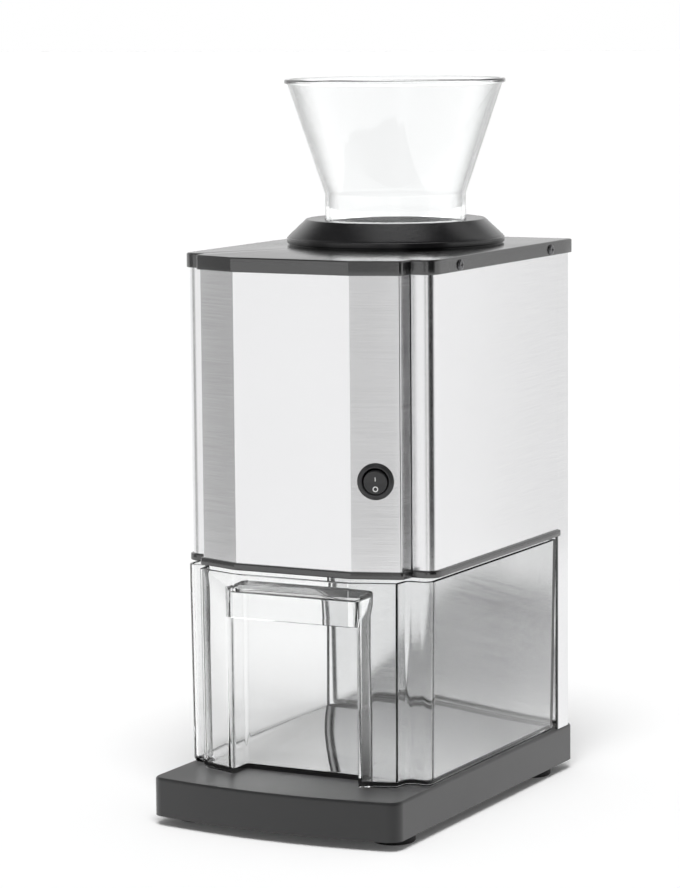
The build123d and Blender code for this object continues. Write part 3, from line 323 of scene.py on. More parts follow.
finishes = {
    "steel_panel": brushedSteel("brushedPanel", {
        "dark": (0.82, 0.82, 0.83), "light": (0.87, 0.87, 0.875), "rough": 0.2, "stretch": 0.75,
        "streaks": (22, 22, 2400), "relief": 0.05}),
    "dark_plastic": mouldedPlastic("satinShell", {
        "dark": (0.005, 0.005, 0.0052), "light": (0.007, 0.007, 0.0072), "rough": 0.2, "gloss": 0.5,
        "ior": 1.98, "grain": 2600, "relief": 0.08}),
    "collar_plastic": mouldedPlastic("blackCollar", {
        "dark": (0.008, 0.008, 0.0085), "light": (0.011, 0.011, 0.0115), "rough": 0.24, "gloss": 0.5,
        "grain": 3000, "relief": 0.05}),
    "switch_plastic": mouldedPlastic("blackSwitch", {
        "dark": (0.018, 0.018, 0.019), "light": (0.024, 0.024, 0.025), "rough": 0.36, "gloss": 0.5,
        "grain": 5000, "relief": 0.06}),
    "black_nylon": mouldedPlastic("blackNylon", {
        "dark": (0.018, 0.018, 0.019), "light": (0.030, 0.030, 0.031), "rough": 0.5, "gloss": 0.45,
        "grain": 1800, "relief": 0.2}),
    "rubber": mouldedPlastic("footRubber", {
        "dark": (0.012, 0.012, 0.012), "light": (0.022, 0.022, 0.022), "rough": 0.75, "gloss": 0.3,
        "grain": 1200, "relief": 0.3}),
    "clear_plastic": clearPlastic("clearMoulding", {
        # edge is the painted grey shade along the drawer's silhouette
        "tint": (0.985, 0.988, 0.988), "edge": (0.36, 0.37, 0.37), "shadeFacing": (0.55, 0.97), "ior": 1.36,
        "smear": 0.01, "wave": 4.0, "relief": 0.004}),
    "fastener_steel": workedMetal("zincSteel", {
        "dark": (0.13, 0.13, 0.135), "light": (0.20, 0.20, 0.205), "rough": 0.28, "grain": 900,
        "relief": 0.1}),
    "cast_aluminium": workedMetal("castAluminium", {
        "dark": (0.58, 0.59, 0.60), "light": (0.70, 0.71, 0.72), "rough": 0.5, "grain": 700, "relief": 0.5}),
    "blade_steel": workedMetal("groundSteel", {
        "dark": (0.58, 0.59, 0.61), "light": (0.72, 0.73, 0.74), "rough": 0.26, "grain": 60,
        "lines": (1, 30, 1), "relief": 0.15}),
    "gear_steel": workedMetal("machinedSteel", {
        "dark": (0.42, 0.42, 0.44), "light": (0.54, 0.54, 0.55), "rough": 0.32, "grain": 80,
        "lines": (1, 20, 1), "relief": 0.15}),
    "bearing_bronze": workedMetal("sinteredBronze", {
        "dark": (0.50, 0.34, 0.16), "light": (0.66, 0.47, 0.25), "rough": 0.42, "grain": 1500,
        "relief": 0.3}),
    "motor_iron": workedMetal("motorIron", {
        "dark": (0.20, 0.20, 0.21), "light": (0.30, 0.30, 0.31), "rough": 0.5, "grain": 300,
        "lines": (1, 8, 1), "relief": 0.4}),
}
funnelClear = clearPlastic("clearFunnel", {
    # edge is the painted grey shade along the funnel's silhouette
    "tint": (0.975, 0.98, 0.98), "edge": (0.12, 0.125, 0.125), "shadeFacing": (0.36, 0.96), "ior": 1.42,
    "smear": 0.01, "wave": 4.0, "relief": 0.004})
# a lighter copy of the panel steel for the column web: painted light, with its own smoother, finer brushing
litWebSteel = brushedSteel("litColumnSteel", {
    "dark": (0.86, 0.86, 0.865), "light": (0.91, 0.91, 0.915), "rough": 0.16, "stretch": 0.5,
    "streaks": (14, 14, 1400), "relief": 0.03})
baseShell = mouldedPlastic("satinBase", {
    "dark": (0.008, 0.008, 0.0085), "light": (0.011, 0.011, 0.0115), "rough": 0.46, "gloss": 0.5,
    "ior": 1.55, "sheen": 0.22, "grain": 2600, "relief": 0.06})
markPaint = mouldedPlastic("whiteMark", {
    "dark": (0.62, 0.62, 0.62), "light": (0.72, 0.72, 0.72), "rough": 0.5, "gloss": 0.4,
    "grain": 2000, "relief": 0.05})


def paintNodes():
    for row in frame["record"]["subparts"]:
        part = nodes[row["node"]]
        part.data.materials.clear()
        part.data.materials.append(finishes[row["material_slot"]])
    # the column web gets the lighter steel copy, which is painted light
    nodes["column_web"].data.materials[0] = litWebSteel
    nodes["base_plate"].data.materials[0] = baseShell


paintNodes()
print("finishes ready")


# mesh tools: plans and profiles in millimetres

def roundCorners(points, radii, steps, closed=True):
    rounded = []
    count = len(points)
    for i, (x, y) in enumerate(points):
        if not closed and i in (0, count - 1):
            rounded.append((x, y))
            continue
        before, after = Vector(points[i - 1]), Vector(points[(i + 1) % count])
        corner = Vector((x, y))
        a, b = (before - corner).normalized(), (after - corner).normalized()
        half = a.angle(b) / 2
        reach = radii[i] / math.tan(half)
        centre = corner + (a + b).normalized() * (radii[i] / math.sin(half))
        start, end = corner + a * reach - centre, corner + b * reach - centre
        sweep = start.angle_signed(end)
        for k in range(steps + 1):
            turned = Matrix.Rotation(-sweep * k / steps, 2) @ start
            rounded.append(tuple(centre + turned))
    return rounded


def growPlan(points, distance):  # outward for an anticlockwise closed plan
    count = len(points)
    sides = []
    for i in range(count):
        start, end = Vector(points[i]), Vector(points[(i + 1) % count])
        along = (end - start).normalized()
        sides.append((start + Vector((along.y, -along.x)) * distance, along))
    grown = []
    for i in range(count):
        (first, firstWay), (second, secondWay) = sides[i - 1], sides[i]
        cross = firstWay.x * secondWay.y - firstWay.y * secondWay.x
        gap = second - first
        reach = (gap.x * secondWay.y - gap.y * secondWay.x) / cross
        grown.append(tuple(first + firstWay * reach))
    return grown


def divideSides(points, counts):  # extra points along the long sides, the same number in each ring
    divided = []
    for i, start in enumerate(points):
        end = points[(i + 1) % len(points)]
        pieces = counts.get(i, 1)
        for k in range(pieces):
            share = k / pieces
            divided.append((start[0] + (end[0] - start[0]) * share, start[1] + (end[1] - start[1]) * share))
    return divided


def quarterTurn(steps):
    return [math.pi / 2 * k / steps for k in range(steps + 1)]


def roundBend(inset, height, radius, steps, down=False):  # quarter turn from a side onto a flat face
    if down:
        return [(inset - radius * (1 - math.sin(t)), height + radius * (1 - math.cos(t)))
                for t in quarterTurn(steps)]
    return [(inset - radius * (1 - math.cos(t)), height - radius * (1 - math.sin(t)))
            for t in quarterTurn(steps)]


weldDistance = 1e-6
sharpAngle = math.radians(35)


def smoothMesh(mesh):
    mesh.shade_smooth()
    mesh.set_sharp_from_angle(angle=sharpAngle)


def pieceOf(name, mesh):
    piece = bpy.data.objects.new(name, mesh)
    bpy.context.scene.collection.objects.link(piece)
    return piece


def makeMesh(name, verts, faces, finish):
    mesh = bpy.data.meshes.new(name)
    mesh.from_pydata([(x / 1000, y / 1000, z / 1000) for x, y, z in verts], [], faces)
    tidy = bmesh.new()
    tidy.from_mesh(mesh)
    bmesh.ops.remove_doubles(tidy, verts=tidy.verts, dist=weldDistance)
    bmesh.ops.recalc_face_normals(tidy, faces=tidy.faces)
    tidy.to_mesh(mesh)
    tidy.free()
    smoothMesh(mesh)
    if finish:
        mesh.materials.append(finish)
    return pieceOf(name, mesh)


def joinedPiece(name, joined, finish):
    mesh = bpy.data.meshes.new(name)
    joined.to_mesh(mesh)
    joined.free()
    mesh.materials.append(finish)
    smoothMesh(mesh)
    return pieceOf(name, mesh)


def stackRings(name, rings, finish, ends=True):  # ends False joins the last ring to the first
    count = len(rings[0])
    verts = [point for ring in rings for point in ring]
    faces = []
    for level in range(len(rings) if not ends else len(rings) - 1):
        low, high = level * count, (level + 1) % len(rings) * count
        for i in range(count):
            j = (i + 1) % count
            faces.append((low + i, low + j, high + j, high + i))
    if ends:
        faces.append(tuple(reversed(range(count))))
        faces.append(tuple(range((len(rings) - 1) * count, len(rings) * count)))
    return makeMesh(name, verts, faces, finish)


axisGap = 0.01  # a turned profile stays this far off its axis


def turnProfile(name, profile, finish, centre, steps):  # closed (radius, z) profile
    rings = []
    for k in range(steps):
        turn = 2 * math.pi * k / steps
        rings.append([(centre[0] + r * math.cos(turn), centre[1] + r * math.sin(turn), centre[2] + z)
                      for r, z in profile])
    return stackRings(name, rings, finish, False)


def cutAway(piece, cutters):
    for cutter in cutters:
        step = piece.modifiers.new("cut", "BOOLEAN")
        step.operation = "DIFFERENCE"
        step.solver = "EXACT"
        step.object = cutter
        bpy.context.view_layer.update()
        shaped = bpy.data.meshes.new_from_object(piece.evaluated_get(bpy.context.evaluated_depsgraph_get()))
        piece.modifiers.clear()
        piece.data = shaped
        bpy.data.objects.remove(cutter)
    tidy = bmesh.new()
    tidy.from_mesh(piece.data)
    bmesh.ops.remove_doubles(tidy, verts=tidy.verts, dist=weldDistance)
    bmesh.ops.dissolve_degenerate(tidy, edges=tidy.edges, dist=weldDistance)
    tidy.to_mesh(piece.data)
    tidy.free()
    smoothMesh(piece.data)


def softenEdges(piece, width, angle=50, steps=2):
    bend = piece.modifiers.new("softEdge", "BEVEL")
    bend.width = width / 1000
    bend.segments = steps
    bend.limit_method = "ANGLE"
    bend.angle_limit = math.radians(angle)


def seat(piece, body, slotName, *replaced):
    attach(piece, body)
    if replaced:
        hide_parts(*replaced)
    return piece


# head: plan seen from above, shared by lid, trim, panels and drawer

head = {"facetHalf": 41.5, "stepHalf": 71.6, "returnHalf": 73.0, "half": 88.7, "front": -99.3,
        "stepFront": -88.85, "postFace": -77.1, "rear": 130.9, "columnFront": 114.4,
        "postRound": 7.5, "rearRound": 0.6, "stripLow": 165.2, "stripTop": 169.6, "panelTop": 362.3,
        "skirtLow": 356.4, "lidTop": 365.8, "lidUnder": 362.8}


def headPlan(grow, rear, bend=1.2, steps=5, bays=True):
    right = [(head["facetHalf"], head["front"]), (head["stepHalf"], head["stepFront"]),
             (head["returnHalf"], head["postFace"]), (head["half"], head["postFace"]),
             (head["half"], rear - grow)]
    plan = growPlan(right + [(-x, y) for x, y in reversed(right)], grow)
    postRound = head["postRound"] + grow
    outward, inward = max(bend + grow, 0.3), max(bend - grow, 0.3)
    rearRound = head["rearRound"]
    radii = [outward, outward, inward, postRound, rearRound,
             rearRound, postRound, inward, outward, outward]
    points = roundCorners(plan, radii, steps)
    if not bays:
        return points
    longSides = {}
    for corner, pieces in ((3, 12), (4, 10), (5, 12), (9, 6)):  # sides, rear and front facet
        longSides[corner * (steps + 1) + steps] = pieces
    return divideSides(points, longSides)


def planRing(grow, z, rear):
    return [(x, y, z) for x, y in headPlan(grow, rear)]


def aroundHole(ring, centre, z, hole):  # a ring on the hole's edge, point for point with the outer one
    points = []
    for x, y, _ in ring:
        way = Vector((x - centre[0], y - centre[1])).normalized()
        reach = hole(way)
        points.append((centre[0] + way.x * reach, centre[1] + way.y * reach, z))
    return points


funnel = {"centre": (0, 48.8), "neck": 46.8, "bore": 44.4, "shoulder": 33.4, "height": 109.2,
          "rim": 73.3, "mouth": 72.3, "wall": 2.4, "bead": 3.0, "bend": 5.0}
lid = {"overhang": 2.0, "wall": 1.8, "edge": 1.1, "lowEdge": 0.5, "throat": 44.4, "throatEdge": 0.6}
trimStrip = {"holeHalf": 40.0, "lowEdge": 0.6, "edge": 0.8}


def makeLid():
    over, wall = lid["overhang"], lid["wall"]
    levels = roundBend(over, head["skirtLow"], lid["lowEdge"], 2, down=True)
    levels += roundBend(over, head["lidTop"], lid["edge"], 4)
    rings = [planRing(grow, z, head["rear"] + grow) for grow, z in levels]
    top, under = head["lidTop"], head["lidUnder"]
    for radius, z in ((lid["throat"] + lid["throatEdge"], top), (lid["throat"], top - lid["throatEdge"]),
                      (lid["throat"], under)):
        rings.append(aroundHole(rings[0], funnel["centre"], z, lambda way: radius))
    inside = over - wall
    rings.append(planRing(inside, under, head["rear"] + inside))
    rings.append(planRing(inside, head["skirtLow"], head["rear"] + inside))
    return stackRings("lidMoulding", rings, finishes["dark_plastic"], False)


def makeStrip():
    over, half = lid["overhang"], trimStrip["holeHalf"]
    levels = roundBend(over, head["stripLow"], trimStrip["lowEdge"], 2, down=True)
    levels += roundBend(over, head["stripTop"], trimStrip["edge"], 3)
    rings = [planRing(grow, z, head["columnFront"] - over + grow) for grow, z in levels]

    def squareHole(way):
        return half / max(abs(way.x), abs(way.y))
    for z in (head["stripTop"], head["stripLow"]):
        rings.append(aroundHole(rings[0], funnel["centre"], z, squareHole))
    return stackRings("headTrimStrip", rings, finishes["dark_plastic"], False)


seat(makeLid(), "machine", "dark_plastic", "top_cover")
seat(makeStrip(), "machine", "dark_plastic", "bottom_frame")
print("lid and trim strip ready")


# head panels: bent sheet with small bend radii

sheetMetal = {"thick": 1.0, "bend": 1.4, "edge": 0.18, "seam": 0.5, "return": 0.6}


def offsetPath(path, distance):  # an open path moved to its left
    ways = [(Vector(b) - Vector(a)).normalized() for a, b in zip(path, path[1:])]
    moved = []
    for i, point in enumerate(path):
        before, after = ways[max(i - 1, 0)], ways[min(i, len(ways) - 1)]
        left = (Vector((-before.y, before.x)) + Vector((-after.y, after.x))).normalized()
        stretch = distance / max(left.dot(Vector((-after.y, after.x))), 0.2)
        moved.append(tuple(Vector(point) + left * stretch))
    return moved


def bentSheet(name, path, radii, z0, z1, finish):
    thick = sheetMetal["thick"]
    outerLine = roundCorners(path, radii, 6, closed=False)
    innerRadii = [max(r - thick, 0.3) for r in radii]
    innerLine = roundCorners(offsetPath(path, thick), innerRadii, 6, closed=False)
    outline = outerLine + innerLine[::-1]
    rings = [[(x, y, z) for x, y in outline] for z in (z0, z1)]
    piece = stackRings(name, rings, finish)
    softenEdges(piece, sheetMetal["edge"])
    return piece


def makeFrontPanel():
    lead = (head["returnHalf"] - head["stepHalf"]) / (head["postFace"] - head["stepFront"])
    endX = head["returnHalf"] + lead * sheetMetal["return"]
    right = [(head["facetHalf"], head["front"]), (head["stepHalf"], head["stepFront"]),
             (endX, head["postFace"] + sheetMetal["return"])]
    path = [(-x, y) for x, y in reversed(right)] + right
    piece = bentSheet("frontPanelSkin", path, [sheetMetal["bend"]] * len(path),
                      head["stripTop"], head["panelTop"], finishes["steel_panel"])
    radius, reach = switch["hole"], switch["holeReach"]
    hole = turnProfile("switchHole", [(axisGap, -reach), (radius, -reach), (radius, reach), (axisGap, reach)],
                       None, (0, 0, 0), 48)
    hole.matrix_world = switchFrame()
    piece.modifiers.clear()  # the hole first, then the soft edges again
    cutAway(piece, [hole])
    softenEdges(piece, sheetMetal["edge"])
    return piece


def makeSidePanel(side):
    inner = head["returnHalf"] + sheetMetal["seam"]
    path = [(inner, head["postFace"]), (head["half"], head["postFace"]),
            (head["half"], head["columnFront"])]
    radii = [0, head["postRound"], 0]
    if side < 0:
        path = [(-x, y) for x, y in reversed(path)]
    name = "sidePanelSkinRight" if side > 0 else "sidePanelSkinLeft"
    return bentSheet(name, path, radii, head["stripTop"], head["panelTop"], finishes["steel_panel"])


switch = {"place": (56.55, -94.075, 227.2), "turn": 19.147, "bezel": 11.7, "height": 2.0,
          "rocker": 7.6, "pocket": 8.3, "pivot": -1.0, "tilt": 10.0, "hole": 9.8, "holeReach": 6.0,
          "barrel": 9.7, "barrelDeep": 20.0, "pocketDeep": 9.0}


def switchFrame():
    turn = math.radians(switch["turn"])
    right = Vector((math.cos(turn), math.sin(turn), 0))
    out = Vector((math.sin(turn), -math.cos(turn), 0))
    place = Matrix((right, (0, 0, 1), out)).transposed().to_4x4()
    return Matrix.Translation(Vector(switch["place"]) / 1000) @ place


seat(makeFrontPanel(), "machine", "steel_panel", "front_panel")
seat(makeSidePanel(1), "machine", "steel_panel", "side_panel_right")
seat(makeSidePanel(-1), "machine", "steel_panel", "side_panel_left")
print("head panels ready")


# collar and funnel

collar = {"bore": 47.1, "foot": 72.3, "skirt": 4.8, "crown": 59.5, "height": 16.8, "groove": 1.1,
          "grooveDeep": 1.4, "ledge": 1.0}


def makeCollar():
    foot, skirt = collar["foot"], collar["skirt"]
    heel, ledge = foot - collar["grooveDeep"], collar["ledge"]
    corners = [(collar["bore"], 0), (heel, 0), (heel, collar["groove"]),
               (foot, collar["groove"]), (foot, skirt - 0.2 * ledge),
               (foot - 0.7 * ledge, skirt + 0.2 * ledge),
               (foot - ledge, skirt + 0.9 * ledge), (collar["crown"], collar["height"]),
               (collar["bore"], collar["height"])]
    radii = [0.3, 0.2, 0.2, 0.7, 0.5, 0.25, 0.8, 1.6, 0.8]
    profile = roundCorners(corners, radii, 5)
    return turnProfile("hopperCollarRing", profile, finishes["collar_plastic"],
                       (*funnel["centre"], head["lidTop"]), 160)


def makeFunnel():
    slope = (funnel["mouth"] - funnel["neck"]) / (funnel["height"] - funnel["shoulder"])
    top = funnel["height"]
    beadFoot = top - funnel["bead"]
    beadRadius = funnel["neck"] + slope * (beadFoot - funnel["shoulder"])
    corners = [(funnel["neck"], 0), (funnel["neck"], funnel["shoulder"]), (beadRadius, beadFoot),
               (funnel["rim"], beadFoot), (funnel["rim"], top), (funnel["mouth"] - funnel["wall"], top),
               (funnel["bore"], funnel["shoulder"] + slope), (funnel["bore"], 0)]
    radii = [0.8, funnel["bend"], 0.5, 0.9, 1.1, 1.0, funnel["bend"], 0.8]
    profile = roundCorners(corners, radii, 6)
    return turnProfile("feedFunnelShell", profile, funnelClear,
                       (*funnel["centre"], head["lidTop"]), 192)


seat(makeCollar(), "machine", "collar_plastic", "hopper_collar")
clearFunnel = seat(makeFunnel(), "funnel", "clear_plastic", "hopper_funnel")
clearFunnel.visible_shadow = False
print("collar and funnel ready")


# clear drawer

drawer = {"low": 31.6, "high": 163.4, "lead": 5.5, "lowGrow": -1.2, "topRear": 111.2, "lowRear": 108.0,
          "wall": 2.5, "floor": 3.0, "foot": 3.0, "bend": 2.0, "rimEdge": 0.7,
          "nicheHalf": 44.5, "nicheBack": -81.8, "nicheTop": 151.4, "barLow": 134.9, "barBack": -101.1,
          "mouth": 5.0, "mouthFront": -102.02, "floorBend": 2.0, "nicheBend": 1.5, "barBend": 1.0,
          "hoodRound": 1.2, "cutFront": -130.0, "cutLow": 20.0}


def drawerRing(z, inset, extra=0.0):
    share = (z - drawer["low"]) / (drawer["high"] - drawer["low"])
    grow = drawer["lowGrow"] * (1 - share) - inset - extra
    rear = drawer["lowRear"] + (drawer["topRear"] - drawer["lowRear"]) * share - inset - extra
    plan = headPlan(grow, rear + drawer["lead"], drawer["bend"], 6, False)
    return [(x, y - drawer["lead"], z) for x, y in plan]


def blockOf(name, corners, radii, z0, z1, topRound=0.0):  # an upright block with rounded corners and top
    levels = [(0, z0)] + (roundBend(0, z1, topRound, 4) if topRound else [(0, z1)])
    rings = []
    for inset, z in levels:
        shrunk = growPlan(corners, inset) if inset else corners
        plan = roundCorners(shrunk, [max(r + inset, 0.15) for r in radii], 6)
        rings.append([(x, y, z) for x, y in plan])
    return stackRings(name, rings, None)


def makeDrawer():
    low, high, wall = drawer["low"], drawer["high"], drawer["wall"]
    foot, edge, bend = drawer["foot"], drawer["rimEdge"], drawer["floorBend"]
    rings = [drawerRing(low + foot * (1 - math.cos(t)), 0, foot * (1 - math.sin(t))) for t in quarterTurn(6)]
    rings += [drawerRing(high - edge * (1 - math.sin(t)), 0, edge * (1 - math.cos(t)))
              for t in quarterTurn(3)]
    shell = stackRings("clearDrawerShell", rings, finishes["clear_plastic"])
    base = low + drawer["floor"]
    inside = [drawerRing(base + bend * (1 - math.cos(t)), wall, bend * (1 - math.sin(t)))
              for t in quarterTurn(4)]
    for rise, flare in ((-0.6, 0.0), (0.0, 0.5), (1.0, 1.6)):  # the rim opens a little
        inside.append(drawerRing(high + rise, wall, -flare))
    hollow = stackRings("drawerHollow", inside, None)
    half, back = drawer["nicheHalf"], drawer["nicheBack"]
    arc = [(math.cos(t), math.sin(t)) for t in quarterTurn(6)]
    outer, middle = half + drawer["mouth"], drawer["mouthFront"] + drawer["mouth"]

    def nichePlan(skin):  # the niche seen from above, its own surface or the wall behind it
        r, side, rear = drawer["mouth"] - skin, half + skin, back + skin
        turn = drawer["nicheBend"] + skin
        edge = [(outer - r * y, middle - r * x) for x, y in arc]  # quarter turn into the niche
        corners = roundCorners([(side, middle + 1), (side, rear), (-side, rear), (-side, middle + 1)],
                               [0, turn, turn, 0], 5, closed=False)
        plan = [(-outer, drawer["cutFront"]), (outer, drawer["cutFront"])] + edge + corners[1:-1]
        return plan + [(-x, y) for x, y in reversed(edge)]

    def nicheBlock(name, skin, top):
        plan = nichePlan(skin)
        return stackRings(name, [[(x, y, z) for x, y in plan] for z in (drawer["cutLow"], top)], None)
    cutAway(hollow, [nicheBlock("nicheCore", wall, drawer["nicheTop"] + wall)])
    mouth = nicheBlock("nicheMouth", 0, drawer["barLow"])
    hood = [(-half, drawer["barBack"]), (half, drawer["barBack"]), (half, back), (-half, back)]
    hoodBends = [drawer["barBend"]] * 2 + [drawer["nicheBend"]] * 2
    hoodBlock = blockOf("nicheHood", hood, hoodBends, drawer["barLow"] - 2, drawer["nicheTop"],
                        drawer["hoodRound"])
    cutAway(shell, [hollow, mouth, hoodBlock])
    return shell


clearDrawer = seat(makeDrawer(), "drawer", "clear_plastic", "drawer")
clearDrawer.visible_shadow = False
print("drawer ready")


# rocker switch

def makeSwitchHousing():
    h, pocket = switch["height"], switch["pocket"]
    barrel, low, deep = switch["barrel"], -switch["barrelDeep"], h - switch["pocketDeep"]
    corners = [(barrel, low), (barrel, -0.02), (switch["bezel"], 0), (switch["bezel"], 0.5),
               (barrel - 0.1, h), (pocket + 0.5, h), (pocket, h - 1.2), (pocket, deep),
               (axisGap, deep), (axisGap, low)]
    radii = [0.6, 0.01, 0.2, 0.3, 0.5, 0.3, 0.5, 0.4, 0.001, 0.001]
    piece = turnProfile("switchHousingBody", roundCorners(corners, radii, 4), finishes["switch_plastic"],
                        (0, 0, 0), 96)
    piece.matrix_world = switchFrame()
    return piece


rocker = {"top": 2.5, "under": -2.5, "ease": 0.8, "sink": 0.9, "steps": 64,
          "shares": (0.12, 0.25, 0.4, 0.55, 0.7, 0.82, 0.9, 0.95)}


def makeRocker():
    steps, radius = rocker["steps"], switch["rocker"]
    slope = math.tan(math.radians(switch["tilt"]))

    def crown(y):
        return rocker["top"] + slope * (math.sqrt(y * y + rocker["ease"]) - rocker["sink"])
    verts, faces = [(0, 0, crown(0))], []
    rings = [(radius * share, 0.0) for share in rocker["shares"]]
    rings += [(radius * 0.985, -0.15), (radius, -0.5)]  # the button's soft edge
    for reach, drop in rings:
        for k in range(steps):
            turn = 2 * math.pi * k / steps
            x, y = reach * math.cos(turn), reach * math.sin(turn)
            verts.append((x, y, crown(y) + drop))
    for k in range(steps):
        turn = 2 * math.pi * k / steps
        verts.append((radius * math.cos(turn), radius * math.sin(turn), rocker["under"]))
    for k in range(steps):
        faces.append((0, 1 + k, 1 + (k + 1) % steps))
    for level in range(len(rings)):
        low, high = 1 + level * steps, 1 + (level + 1) * steps
        for k in range(steps):
            j = (k + 1) % steps
            faces.append((low + k, high + k, high + j, low + j))
    faces.append(tuple(1 + len(rings) * steps + k for k in range(steps)))
    piece = makeMesh("switchRockerButton", verts, faces, finishes["switch_plastic"])
    tilt = Matrix.Rotation(math.radians(switch["tilt"]), 4, "X")
    lift = Matrix.Translation((0, 0, switch["pivot"] / 1000))
    piece.matrix_world = switchFrame() @ lift @ tilt
    return piece, crown


marks = {"lift": 0.06, "sink": -0.2, "barHalf": (0.28, 1.35), "barPlace": 2.2,
         "ring": (1.75, 1.15), "ringPlace": -4.2, "ringSteps": 32}


def makeMark(name, outline, hole, y, crown, rockerPlace):  # thin raised paint on the button
    count = len(outline)
    heights = (marks["sink"], marks["lift"])
    verts = [(x, y + v, crown(y + v) + dz) for dz in heights for x, v in outline]
    faces = [(i, (i + 1) % count, count + (i + 1) % count, count + i) for i in range(count)]
    if hole:
        verts += [(x, y + v, crown(y + v) + dz) for dz in heights for x, v in hole]
        faces += [(2 * count + (i + 1) % count, 2 * count + i, 3 * count + i, 3 * count + (i + 1) % count)
                  for i in range(count)]
        for a, b in ((0, 2 * count), (count, 3 * count)):
            faces += [(a + i, b + i, b + (i + 1) % count, a + (i + 1) % count) for i in range(count)]
    else:
        faces += [tuple(range(count)), tuple(range(count, 2 * count))]
    piece = makeMesh(name, verts, faces, markPaint)
    piece.matrix_world = rockerPlace
    return piece


button, crownHeight = makeRocker()
rockerPlace = button.matrix_world.copy()
seat(makeSwitchHousing(), "machine", "switch_plastic", "switch_housing")
seat(button, "rocker", "switch_plastic", "switch_rocker")
barX, barY = marks["barHalf"]
barMark = [(-barX, -barY), (barX, -barY), (barX, barY), (-barX, barY)]
turns = [2 * math.pi * k / marks["ringSteps"] for k in range(marks["ringSteps"])]
ringMark, ringHole = [[(size * math.cos(t), size * math.sin(t)) for t in turns] for size in marks["ring"]]
onMark = makeMark("switchMarkOn", barMark, None, marks["barPlace"], crownHeight, rockerPlace)
offMark = makeMark("switchMarkOff", ringMark, ringHole, marks["ringPlace"], crownHeight, rockerPlace)
for mark in (onMark, offMark):
    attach(mark, "rocker")
print("switch ready")


# screws with a cross recess

screw = {"radius": 3.5, "height": 1.48, "crown": 1.2, "dome": 0.12, "shank": 1.95, "length": 6.0,
         "recess": 1.9, "slotHalf": 0.42, "deep": 0.75, "taper": (0.35, 0.8)}


def crossScrew(name):  # local Z out of the head, seat at 0; sizes in millimetres
    radius, height, shank = screw["radius"], screw["height"], screw["shank"]
    profile = [(axisGap, -screw["length"]), (shank, -screw["length"]), (shank, 0), (radius, 0)]
    profile += roundBend(radius, height, screw["crown"], 6)
    profile.append((axisGap, height + screw["dome"]))
    piece = turnProfile(name, profile, finishes["fastener_steel"], (0, 0, 0), 40)
    reach, half = screw["recess"], screw["slotHalf"]
    shrinkX, shrinkY = screw["taper"]
    levels = ((reach * shrinkX, half * shrinkY, height - height * screw["deep"]), (reach, half, height + 0.4))
    for turned in (0, 90):
        cutter = stackRings("recess", [[(-x, -y, z), (x, -y, z), (x, y, z), (-x, y, z)]
                                       for x, y, z in levels], None)
        cutter.matrix_world = Matrix.Rotation(math.radians(turned), 4, "Z")
        cutAway(piece, [cutter])
    return piece


def setScrews(name, pattern, places, node):
    joined = bmesh.new()
    for spot, out, spin in places:
        turn = Vector(out).to_track_quat("Z", "Y").to_matrix().to_4x4() @ Matrix.Rotation(spin, 4, "Z")
        copy = pattern.data.copy()
        copy.transform(Matrix.Translation(Vector(spot) / 1000) @ turn)
        joined.from_mesh(copy)
        bpy.data.meshes.remove(copy)
    seat(joinedPiece(name, joined, finishes["fastener_steel"]), "machine", "fastener_steel", node)


screwSpots = {"lidX": 90.7, "lidZ": 360.4, "lidY": (-41.7, 98.0), "rearX": 79.85, "rearY": 130.9,
              "rearZ": (51.442, 196.95, 342.458), "baseX": 78.1, "baseY": (-119.3, 4.7, 128.7), "baseZ": 8.1}
panScrew = crossScrew("screwPattern")
lidSpots = [((side * screwSpots["lidX"], y, screwSpots["lidZ"]), (side, 0, 0), 0.5 + y * 0.01)
            for side in (-1, 1) for y in screwSpots["lidY"]]
rearSpots = [((side * screwSpots["rearX"], screwSpots["rearY"], z), (0, 1, 0), z * 0.7 + side)
             for side in (-1, 1) for z in screwSpots["rearZ"]]
baseSpots = [((side * screwSpots["baseX"], y, screwSpots["baseZ"]), (0, 0, -1), 0.4 + y * 0.02 + side)
             for side in (-1, 1) for y in screwSpots["baseY"]]
setScrews("lidScrewSet", panScrew, lidSpots, "lid_screws")
setScrews("baseScrewSet", panScrew, baseSpots, "base_screws")
setScrews("rearPanelScrewSet", panScrew, rearSpots, "rear_panel_screws")
bpy.data.objects.remove(panScrew)
print("screws ready")


# feet, cord bushing and the dark strips of painted shade beside the drawer

foot = {"x": 70.7, "y": (-100.5, 107.5), "radius": 14.0, "height": 7.5, "peg": 3.0, "pegTop": 11.5,
        "hollow": 0.9, "ring": 4.7}


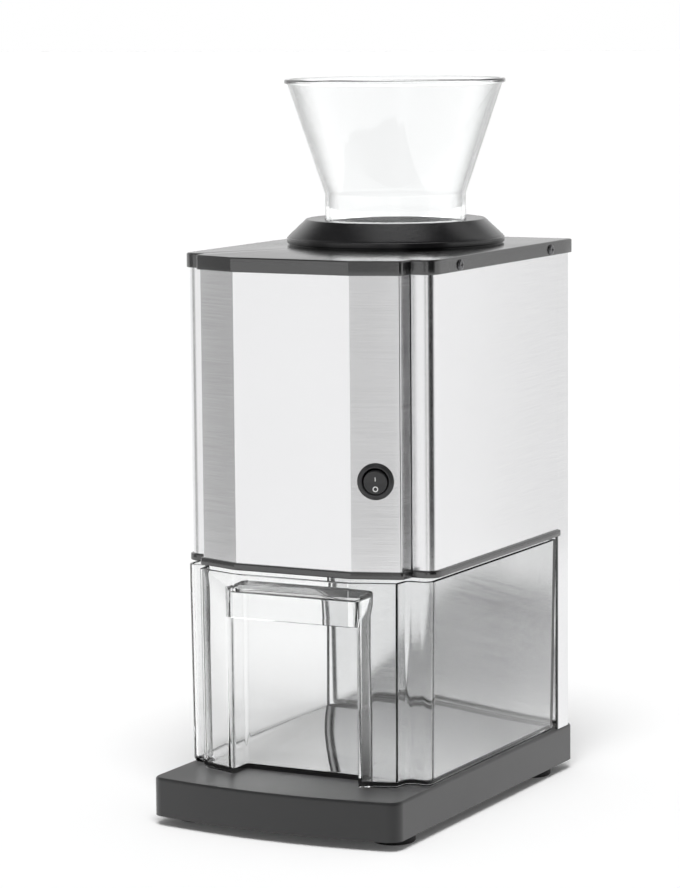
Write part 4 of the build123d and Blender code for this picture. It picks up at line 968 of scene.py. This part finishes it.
def makeFeet():
    r, top = foot["radius"], foot["height"]
    ring, hollow = foot["ring"], foot["hollow"]
    corners = [(axisGap, hollow), (r - ring - 0.8, hollow), (r - ring, 0), (r - 0.9, 0), (r, 1.0), (r, top),
               (foot["peg"], top), (foot["peg"], foot["pegTop"]), (axisGap, foot["pegTop"])]
    profile = roundCorners(corners, [0.001, 0.3, 0.3, 0.8, 0.8, 0.4, 0.2, 0.6, 0.001], 4)
    joined = bmesh.new()
    for x in (-foot["x"], foot["x"]):
        for y in foot["y"]:
            pad = turnProfile("pad", profile, None, (x, y, 0), 56)
            joined.from_mesh(pad.data)
            bpy.data.objects.remove(pad)
    return joinedPiece("footPadSet", joined, finishes["rubber"])


gland = {"x": 60.0, "z": 60.0, "back": 130.9, "flange": 11.0, "thick": 3.0, "barrel": 8.0, "bore": 3.8,
         "inside": 4.2, "wallGap": 1.2}


def makeGland():  # turned about its own axis, then laid along Y
    thick, inside, gap = gland["thick"], gland["inside"], gland["wallGap"]
    bore, barrel, flange = gland["bore"], gland["barrel"], gland["flange"]
    corners = [(bore, -inside), (flange, -inside), (flange, -gap), (barrel, -gap), (barrel, 0), (flange, 0),
               (flange, thick * 0.55), (barrel - 1.2, thick * 0.75), (barrel - 1.6, thick),
               (bore + 0.8, thick), (bore, thick - 1.2)]
    radii = [0.2, 0.4, 0.3, 0.1, 0.1, 0.2, 0.6, 0.5, 0.4, 0.5, 0.5]
    piece = turnProfile("cordBushing", roundCorners(corners, radii, 4), finishes["black_nylon"],
                        (0, 0, 0), 64)
    lay = Matrix.Rotation(math.radians(-90), 4, "X")
    piece.matrix_world = Matrix.Translation(Vector((gland["x"], gland["back"], gland["z"])) / 1000) @ lay
    return piece


# a thin dark sheet at each front edge of the column: painted shade for the shadowed gap between the drawer
# side and the column
columnShadeStrip = {"outer": 88.4, "inner": 87.0, "back": 114.4, "thick": 1.0, "low": 31.6, "high": 165.2}


def makeColumnShadeStrip(side):
    t = columnShadeStrip
    x0, x1 = sorted((side * t["inner"], side * t["outer"]))
    front = t["back"] - t["thick"]
    corners = [(x0, front), (x1, front), (x1, t["back"]), (x0, t["back"])]
    piece = blockOf("columnShadeStripRight" if side > 0 else "columnShadeStripLeft", corners, [0.3, 0.3, 0.15, 0.15],
                    t["low"], t["high"])
    piece.data.materials.append(finishes["dark_plastic"])
    return piece


seat(makeFeet(), "machine", "rubber", "foot_front_left", "foot_front_right", "foot_rear_left",
     "foot_rear_right")
seat(makeGland(), "machine", "black_nylon", "cord_gland")
for side in (-1, 1):
    seat(makeColumnShadeStrip(side), "machine", "dark_plastic")
print("feet, bushing and column trim ready")
